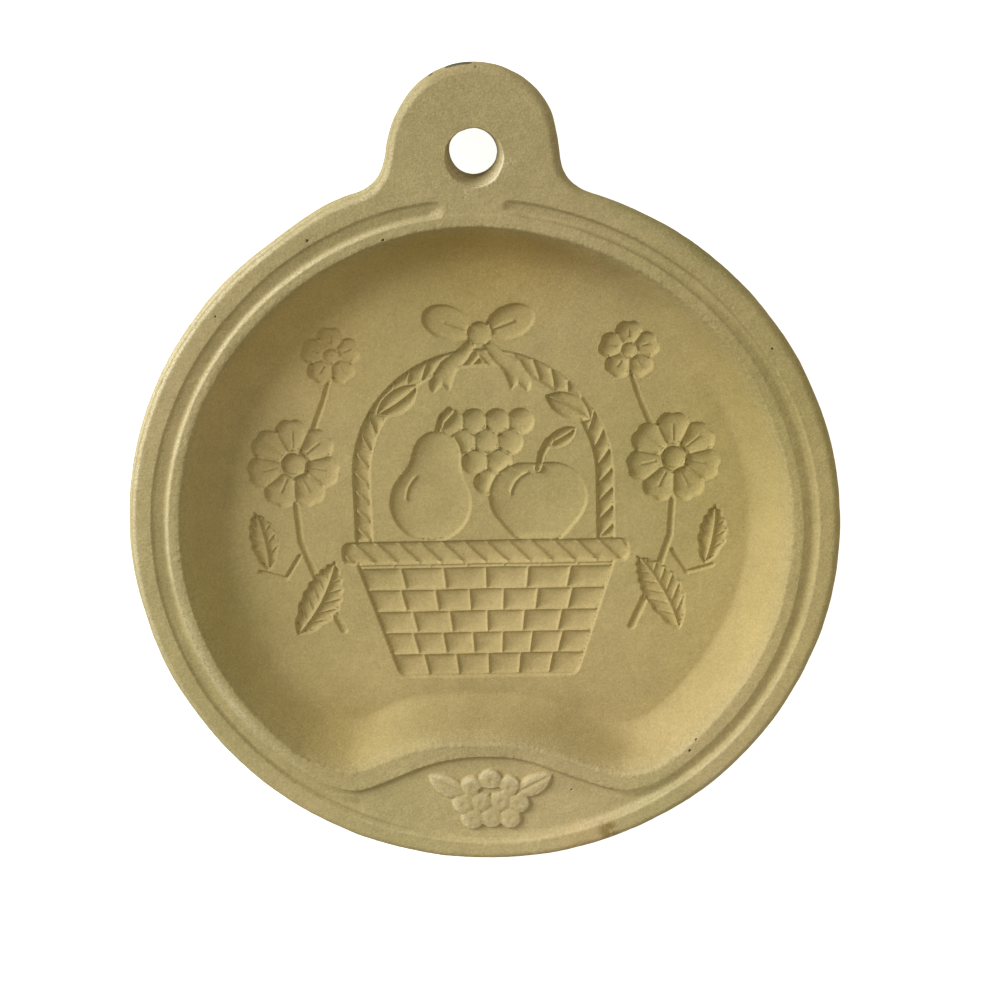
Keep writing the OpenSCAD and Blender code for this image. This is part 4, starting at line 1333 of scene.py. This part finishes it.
def stoneware():
    mat = bpy.data.materials.new("buff_stoneware")
    mat.use_nodes = True
    t = mat.node_tree
    t.nodes.clear()
    link = t.links.new
    out = node(t, "ShaderNodeOutputMaterial")
    bsdf = node(t, "ShaderNodeBsdfPrincipled")
    link(bsdf.outputs["BSDF"], out.inputs["Surface"])
    co = node(t, "ShaderNodeTexCoord")
    obj = co.outputs["Object"]

    def noise(scale, detail=3.0, rough=0.55, dist=0.0):
        n = node(t, "ShaderNodeTexNoise")
        n.inputs["Scale"].default_value = scale
        n.inputs["Detail"].default_value = detail
        n.inputs["Roughness"].default_value = rough
        n.inputs["Distortion"].default_value = dist
        link(obj, n.inputs["Vector"])
        return n.outputs["Fac"]

    def ramp(fac, stops):
        n = node(t, "ShaderNodeValToRGB")
        el = n.color_ramp.elements
        while len(el) < len(stops):
            el.new(0.5)
        for e_, (pos, col) in zip(el, stops):
            e_.position = pos
            e_.color = (*col, 1.0)
        link(fac, n.inputs["Fac"])
        return n.outputs["Color"]

    def remap(fac, a, b, c=0.0, d=1.0):
        n = node(t, "ShaderNodeMapRange")
        n.inputs["From Min"].default_value = a
        n.inputs["From Max"].default_value = b
        n.inputs["To Min"].default_value = c
        n.inputs["To Max"].default_value = d
        link(fac, n.inputs["Value"])
        return n.outputs["Result"]

    def mix(a, b, fac, kind="MIX"):
        n = node(t, "ShaderNodeMix", data_type="RGBA", blend_type=kind)
        for sock, val in ((n.inputs[6], a), (n.inputs[7], b), (n.inputs[0], fac)):
            if isinstance(val, (int, float)):
                sock.default_value = val
            elif isinstance(val, tuple):
                sock.default_value = (*val, 1.0)
            else:
                link(val, sock)
        return n.outputs[2]

    def attr(name):
        n = node(t, "ShaderNodeAttribute")
        n.attribute_name = name
        return n.outputs["Fac"]

    def math_(op, a, b):
        n = node(t, "ShaderNodeMath", operation=op)
        for sock, val in zip(n.inputs, (a, b)):
            if isinstance(val, (int, float)):
                sock.default_value = val
            else:
                link(val, sock)
        return n.outputs[0]

    def spot(x, y, z, r, soft):
        n = node(t, "ShaderNodeVectorMath", operation="DISTANCE")
        link(obj, n.inputs[0])
        n.inputs[1].default_value = (x * MM, y * MM, z * MM)
        return remap(n.outputs["Value"], r * MM, (r + soft) * MM, 1.0, 0.0)

    # clay body: broad tone, a slow olive and pink drift, and sandy grain
    tone = ramp(noise(30, 3, 0.5), [(0.30, (0.478, 0.398, 0.196)), (0.52, (0.532, 0.447, 0.226)), (0.72, (0.573, 0.488, 0.256))])
    drift = ramp(noise(14, 2, 0.5), [(0.35, (0.488, 0.442, 0.203)), (0.65, (0.571, 0.442, 0.238))])
    col = mix(tone, drift, 0.38)
    olive = math_("MULTIPLY", spot(36.0, 54.0, 11.0, 2.0, 13.0), remap(noise(120, 3, 0.6), 0.32, 0.56))
    col = mix(col, (0.43, 0.385, 0.170), math_("MULTIPLY", olive, 0.62))
    # the fire left the right side a little darker and yellower; the hump's wall and the lower right slope are darker
    # too, which is painted shade
    def tint(col, shade, *place, amount=1.0):
        return mix(col, shade, math_("MULTIPLY", spot(*place), amount), "MULTIPLY")
    col = tint(col, (0.91, 0.88, 0.75), 52.0, 32.0, 11.0, 8.0, 30.0, amount=0.62)
    col = tint(col, (0.95, 0.945, 0.82), 58.0, -8.0, 11.0, 14.0, 32.0, amount=0.85)
    # painted shade on the hump's wall and the lower right slope
    col = tint(col, (0.84, 0.835, 0.795), 16.0, -41.0, 8.0, 4.0, 9.0)
    col = tint(col, (0.93, 0.925, 0.91), 38.0, -38.0, 7.0, 7.0, 12.0)
    col = tint(col, (0.84, 0.84, 0.81), 0.0, -40.5, 8.0, 3.0, 9.0)
    col = tint(col, (0.91, 0.91, 0.89), -15.0, -40.0, 8.0, 2.0, 8.0)
    col = tint(col, (0.88, 0.87, 0.79), -30.0, -41.0, 6.0, 5.0, 9.0)
    # inside the hollow, painted shade and light: the shaded top of the wall is browner and darker, its left side paler,
    # and the hump's foot darker
    hollow = attr("deep")
    col = mix(col, (0.97, 0.89, 0.70), math_("MULTIPLY", spot(2.0, 56.0, 9.0, 9.0, 15.0), hollow), "MULTIPLY")
    col = mix(col, (0.89, 0.86, 0.84), math_("MULTIPLY", spot(20.0, 53.0, 9.0, 5.0, 11.0), hollow), "MULTIPLY")
    col = mix(col, (1.15, 1.11, 1.05), math_("MULTIPLY", spot(-31.0, 42.0, 7.0, 8.0, 16.0), hollow), "MULTIPLY")
    col = mix(col, (0.90, 0.90, 0.885), math_("MULTIPLY", spot(1.0, -46.0, 9.0, 16.0, 7.0), hollow), "MULTIPLY")
    col = mix(col, (0.86, 0.86, 0.83), math_("MULTIPLY", spot(24.0, -47.2, 7.0, 2.0, 5.0), hollow), "MULTIPLY")
    col = tint(col, (0.94, 0.93, 0.905), -50.0, -38.0, 11.0, 10.0, 22.0)
    col = tint(col, (0.92, 0.965, 0.90), 33.0, -54.0, 11.5, 3.0, 8.0, amount=0.8)
    col = tint(col, (1.03, 0.965, 0.94), 17.0, -61.5, 11.5, 1.5, 4.0, amount=0.8)
    out_from = node(t, "ShaderNodeVectorMath", operation="LENGTH")
    flat = node(t, "ShaderNodeVectorMath", operation="MULTIPLY")
    link(obj, flat.inputs[0])
    flat.inputs[1].default_value = (1.0, 1.0, 0.0)
    link(flat.outputs[0], out_from.inputs[0])
    brim = math_("MULTIPLY", remap(out_from.outputs["Value"], 63.2 * MM, 65.4 * MM), spot(34.0, 56.0, 11.0, 8.0, 14.0))
    col = mix(col, (0.80, 0.83, 0.75), brim, "MULTIPLY")
    sep = node(t, "ShaderNodeSeparateXYZ")
    link(obj, sep.inputs[0])
    # darker towards the tab and lighter towards the bottom: painted shade
    tab_shade_ramp = remap(sep.outputs["Y"], 0.085, -0.066, 0.90, 1.14)
    cloud = remap(noise(160, 4, 0.6), 0.3, 0.7, 0.94, 1.05)
    inner = attr("deep")
    calm = remap(inner, 0.0, 1.0, 1.0, 0.72)
    grain = math_("SUBTRACT", remap(noise(2100, 4, 0.78), 0.26, 0.74, 0.78, 1.22), 1.0)
    sand = math_("SUBTRACT", remap(noise(950, 2, 0.6), 0.3, 0.7, 0.945, 1.055), 1.0)
    grain = math_("ADD", math_("MULTIPLY", math_("ADD", grain, sand), calm), 1.0)
    v1 = math_("MULTIPLY", math_("MULTIPLY", cloud, grain), tab_shade_ramp)
    cmb = node(t, "ShaderNodeCombineXYZ")
    for i in range(3):
        link(v1, cmb.inputs[i])
    col = mix(col, cmb.outputs[0], 1.0, "MULTIPLY")
    # the hollow is a little yellower: partly the clay's own tone, partly painted warm light bounced about the hollow
    col = mix(col, (1.0, 0.972, 0.885), inner, "MULTIPLY")
    speck = remap(noise(4300, 1, 0.5), 0.60, 0.72, 0.0, 1.0)
    dark = remap(noise(3100, 1, 0.5, 0.4), 0.66, 0.77, 0.0, 1.0)
    col = mix(col, (0.74, 0.66, 0.43), math_("MULTIPLY", speck, 0.46))
    col = mix(col, (0.24, 0.18, 0.08), math_("MULTIPLY", dark, 0.42))
    # edges rub pale, grain by grain, and are paler still where they face the light, which is painted highlight; hollows
    # hold dust and painted shade
    edge = attr("edge")
    patch = remap(noise(95, 3, 0.6), 0.36, 0.62, 0.60, 1.0)
    grit = remap(noise(2300, 3, 0.78), 0.42, 0.57, 0.20, 1.0)
    worn = math_("MULTIPLY", math_("MULTIPLY", remap(attr("wear_and_highlight"), 0.05, 0.85), grit), patch)
    col = mix(col, (0.88, 0.80, 0.54), math_("MULTIPLY", worn, 0.92))
    # painted highlight: the lit lower right of the hole's mouth is paler still
    hole_highlight = math_("MULTIPLY", remap(attr("wear_and_highlight"), 1.05, 1.75), remap(noise(1500, 2, 0.6), 0.30, 0.50, 0.55, 1.0))
    col = mix(col, (0.97, 0.885, 0.62), math_("MULTIPLY", hole_highlight, 0.9))
    # a rubbed patch beside and below the hole, and loose pale grains near the edges
    rub = math_("MULTIPLY", math_("MAXIMUM", spot(6.6, 68.0, 12.0, 0.3, 1.9), spot(-1.0, 63.3, 12.0, 0.2, 1.9)), remap(noise(2300, 2, 0.7), 0.48, 0.62))
    col = mix(col, (0.79, 0.71, 0.46), math_("MULTIPLY", rub, 0.55))
    rub = math_("MULTIPLY", spot(-6.8, 59.8, 11.4, 0.5, 1.2), remap(noise(1900, 2, 0.7), 0.40, 0.58))
    col = mix(col, (0.83, 0.74, 0.48), math_("MULTIPLY", rub, 0.42))
    # darker in fine creases: dust and painted shade
    dust_and_shade = remap(edge, -0.15, -0.9)
    col = mix(col, (0.30, 0.215, 0.084), math_("MULTIPLY", dust_and_shade, 0.30))
    # dirt and painted shade in the groove's tight corners
    col = mix(col, (0.26, 0.19, 0.08), math_("MULTIPLY", attr("crease"), 0.62))
    # darker in broad recesses: painted shade
    low = remap(attr("cav"), -0.05, -0.9)
    col = mix(col, (0.40, 0.30, 0.126), math_("MULTIPLY", low, 0.14))
    # old marks: a stain on the lower rim, and a thin dark scuff and a dark grain on the tab's end
    stain = math_("MULTIPLY", spot(22.3, -59.6, 11.9, 1.0, 1.5), remap(noise(620, 3, 0.6), 0.33, 0.46))
    col = mix(col, (0.34, 0.245, 0.088), math_("MULTIPLY", stain, 0.9))
    scuff = math_("MULTIPLY", remap(attr("mark"), 0.12, 0.55), remap(noise(800, 3, 0.6), 0.28, 0.46, 0.45, 1.0))
    col = mix(col, (0.080, 0.077, 0.084), math_("MULTIPLY", scuff, 0.88))
    col = mix(col, (0.045, 0.036, 0.024), math_("MULTIPLY", spot(1.1, 85.15, 11.5, 0.16, 0.2), 0.95))
    col = mix(col, (0.045, 0.036, 0.024), math_("MULTIPLY", attr("pit"), 0.95))
    link(col, bsdf.inputs["Base Color"])
    rough = remap(noise(900, 3, 0.6), 0.3, 0.7, 0.80, 0.95)
    link(rough, bsdf.inputs["Roughness"])
    bsdf.inputs["Specular IOR Level"].default_value = 0.22
    # sanded grain, rougher on the edges
    b1 = node(t, "ShaderNodeBump")
    b1.inputs["Distance"].default_value = 0.00020
    link(math_("MULTIPLY", remap(edge, 0.05, 0.7, 0.62, 1.0), calm), b1.inputs["Strength"])
    link(noise(1900, 4, 0.72), b1.inputs["Height"])
    vor = node(t, "ShaderNodeTexVoronoi")
    vor.inputs["Scale"].default_value = 1900
    link(obj, vor.inputs["Vector"])
    b2 = node(t, "ShaderNodeBump")
    b2.inputs["Strength"].default_value = 0.32
    b2.inputs["Distance"].default_value = 0.00009
    link(remap(vor.outputs["Distance"], 0.0, 0.32), b2.inputs["Height"])
    link(b1.outputs["Normal"], b2.inputs["Normal"])
    link(b2.outputs["Normal"], bsdf.inputs["Normal"])
    return mat


CLAY = stoneware()

# ---------------------------------------------------------------- objects
NAMES = {"back_plate": "clay_back", "outer_rim": "clay_rim", "inner_lip": "clay_lip", "lower_panel": "clay_panel",
         "picture_floor": "clay_floor", "hanging_tab": "clay_tab", "basket_relief": "basket_weave",
         "handle_relief": "handle_and_bow", "fruit_relief": "fruit_lines", "blossom_relief": "blossom_petals",
         "leaf_relief": "leaf_veins", "ornament": "berry_spray"}
counts = {}
for part, (tris, closing) in pieces.items():
    ob, used, n_skin = piece_mesh(NAMES[part], tris, closing, ALL, ALLN, n_front)
    ob.data.materials.append(CLAY)
    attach(ob, "root")
    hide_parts(part)
    counts[part] = len(ob.data.polygons)
print("faces", counts, "front points", n_front)

# ---------------------------------------------------------------- stage
floor_me = bpy.data.meshes.new("studio_floor")
s_ = 3.0
floor_me.from_pydata([(x, y, -0.00005) for x, y in ((-s_, -s_), (s_, -s_), (s_, s_), (-s_, s_))], [], [(0, 1, 2, 3)])
floor_ob = bpy.data.objects.new("studio_floor", floor_me)
scene.collection.objects.link(floor_ob)
floor_mat = bpy.data.materials.new("pale_floor")
floor_mat.use_nodes = True
ft = floor_mat.node_tree
fb = ft.nodes["Principled BSDF"]
fb.inputs["Base Color"].default_value = (0.88, 0.88, 0.875, 1)
fb.inputs["Roughness"].default_value = 0.9
fb.inputs["Emission Color"].default_value = (1, 1, 1, 1)
fb.inputs["Emission Strength"].default_value = 0.9
dull = ft.nodes.new("ShaderNodeBsdfDiffuse")
dull.inputs["Color"].default_value = (0.46, 0.45, 0.42, 1)
seen = ft.nodes.new("ShaderNodeLightPath")
both = ft.nodes.new("ShaderNodeMixShader")
ft.links.new(seen.outputs["Is Camera Ray"], both.inputs[0])
glow = ft.nodes.new("ShaderNodeEmission")
glow.inputs["Color"].default_value = (1.0, 0.97, 0.88, 1)
glow.inputs["Strength"].default_value = 0.17
lit = ft.nodes.new("ShaderNodeAddShader")
ft.links.new(dull.outputs[0], lit.inputs[0])
ft.links.new(glow.outputs[0], lit.inputs[1])
ft.links.new(lit.outputs[0], both.inputs[1])
ft.links.new(fb.outputs[0], both.inputs[2])
ft.links.new(both.outputs[0], ft.nodes["Material Output"].inputs["Surface"])
floor_me.materials.append(floor_mat)

world = bpy.data.worlds.new("studio")
scene.world = world
world.use_nodes = True
world.node_tree.nodes["Background"].inputs["Color"].default_value = (1.0, 0.92, 0.70, 1)
world.node_tree.nodes["Background"].inputs["Strength"].default_value = 0.335


def area(name, azimuth, elevation, dist, size, power, color, target=(0, 0.005, 0.0)):
    data = bpy.data.lights.new(name, "AREA")
    data.shape = "DISK"
    data.size = size
    data.energy = power
    data.color = color
    ob = bpy.data.objects.new(name, data)
    scene.collection.objects.link(ob)
    a, e = math.radians(azimuth), math.radians(elevation)
    p = Vector((math.cos(e) * math.cos(a), math.cos(e) * math.sin(a), math.sin(e))) * dist + Vector(target)
    ob.location = p
    ob.rotation_euler = (Vector(target) - p).to_track_quat("-Z", "Y").to_euler()
    return ob


area("key", 149, 27, 3.0, 1.8, 77.0, (1.0, 1.0, 1.0))
area("fill", 45, 55, 2.0, 1.5, 3.4, (1.0, 0.94, 0.80))

scene.view_settings.view_transform = "Standard"
scene.view_settings.look = "None"
scene.view_settings.exposure = 0.0
scene.view_settings.gamma = 1.0
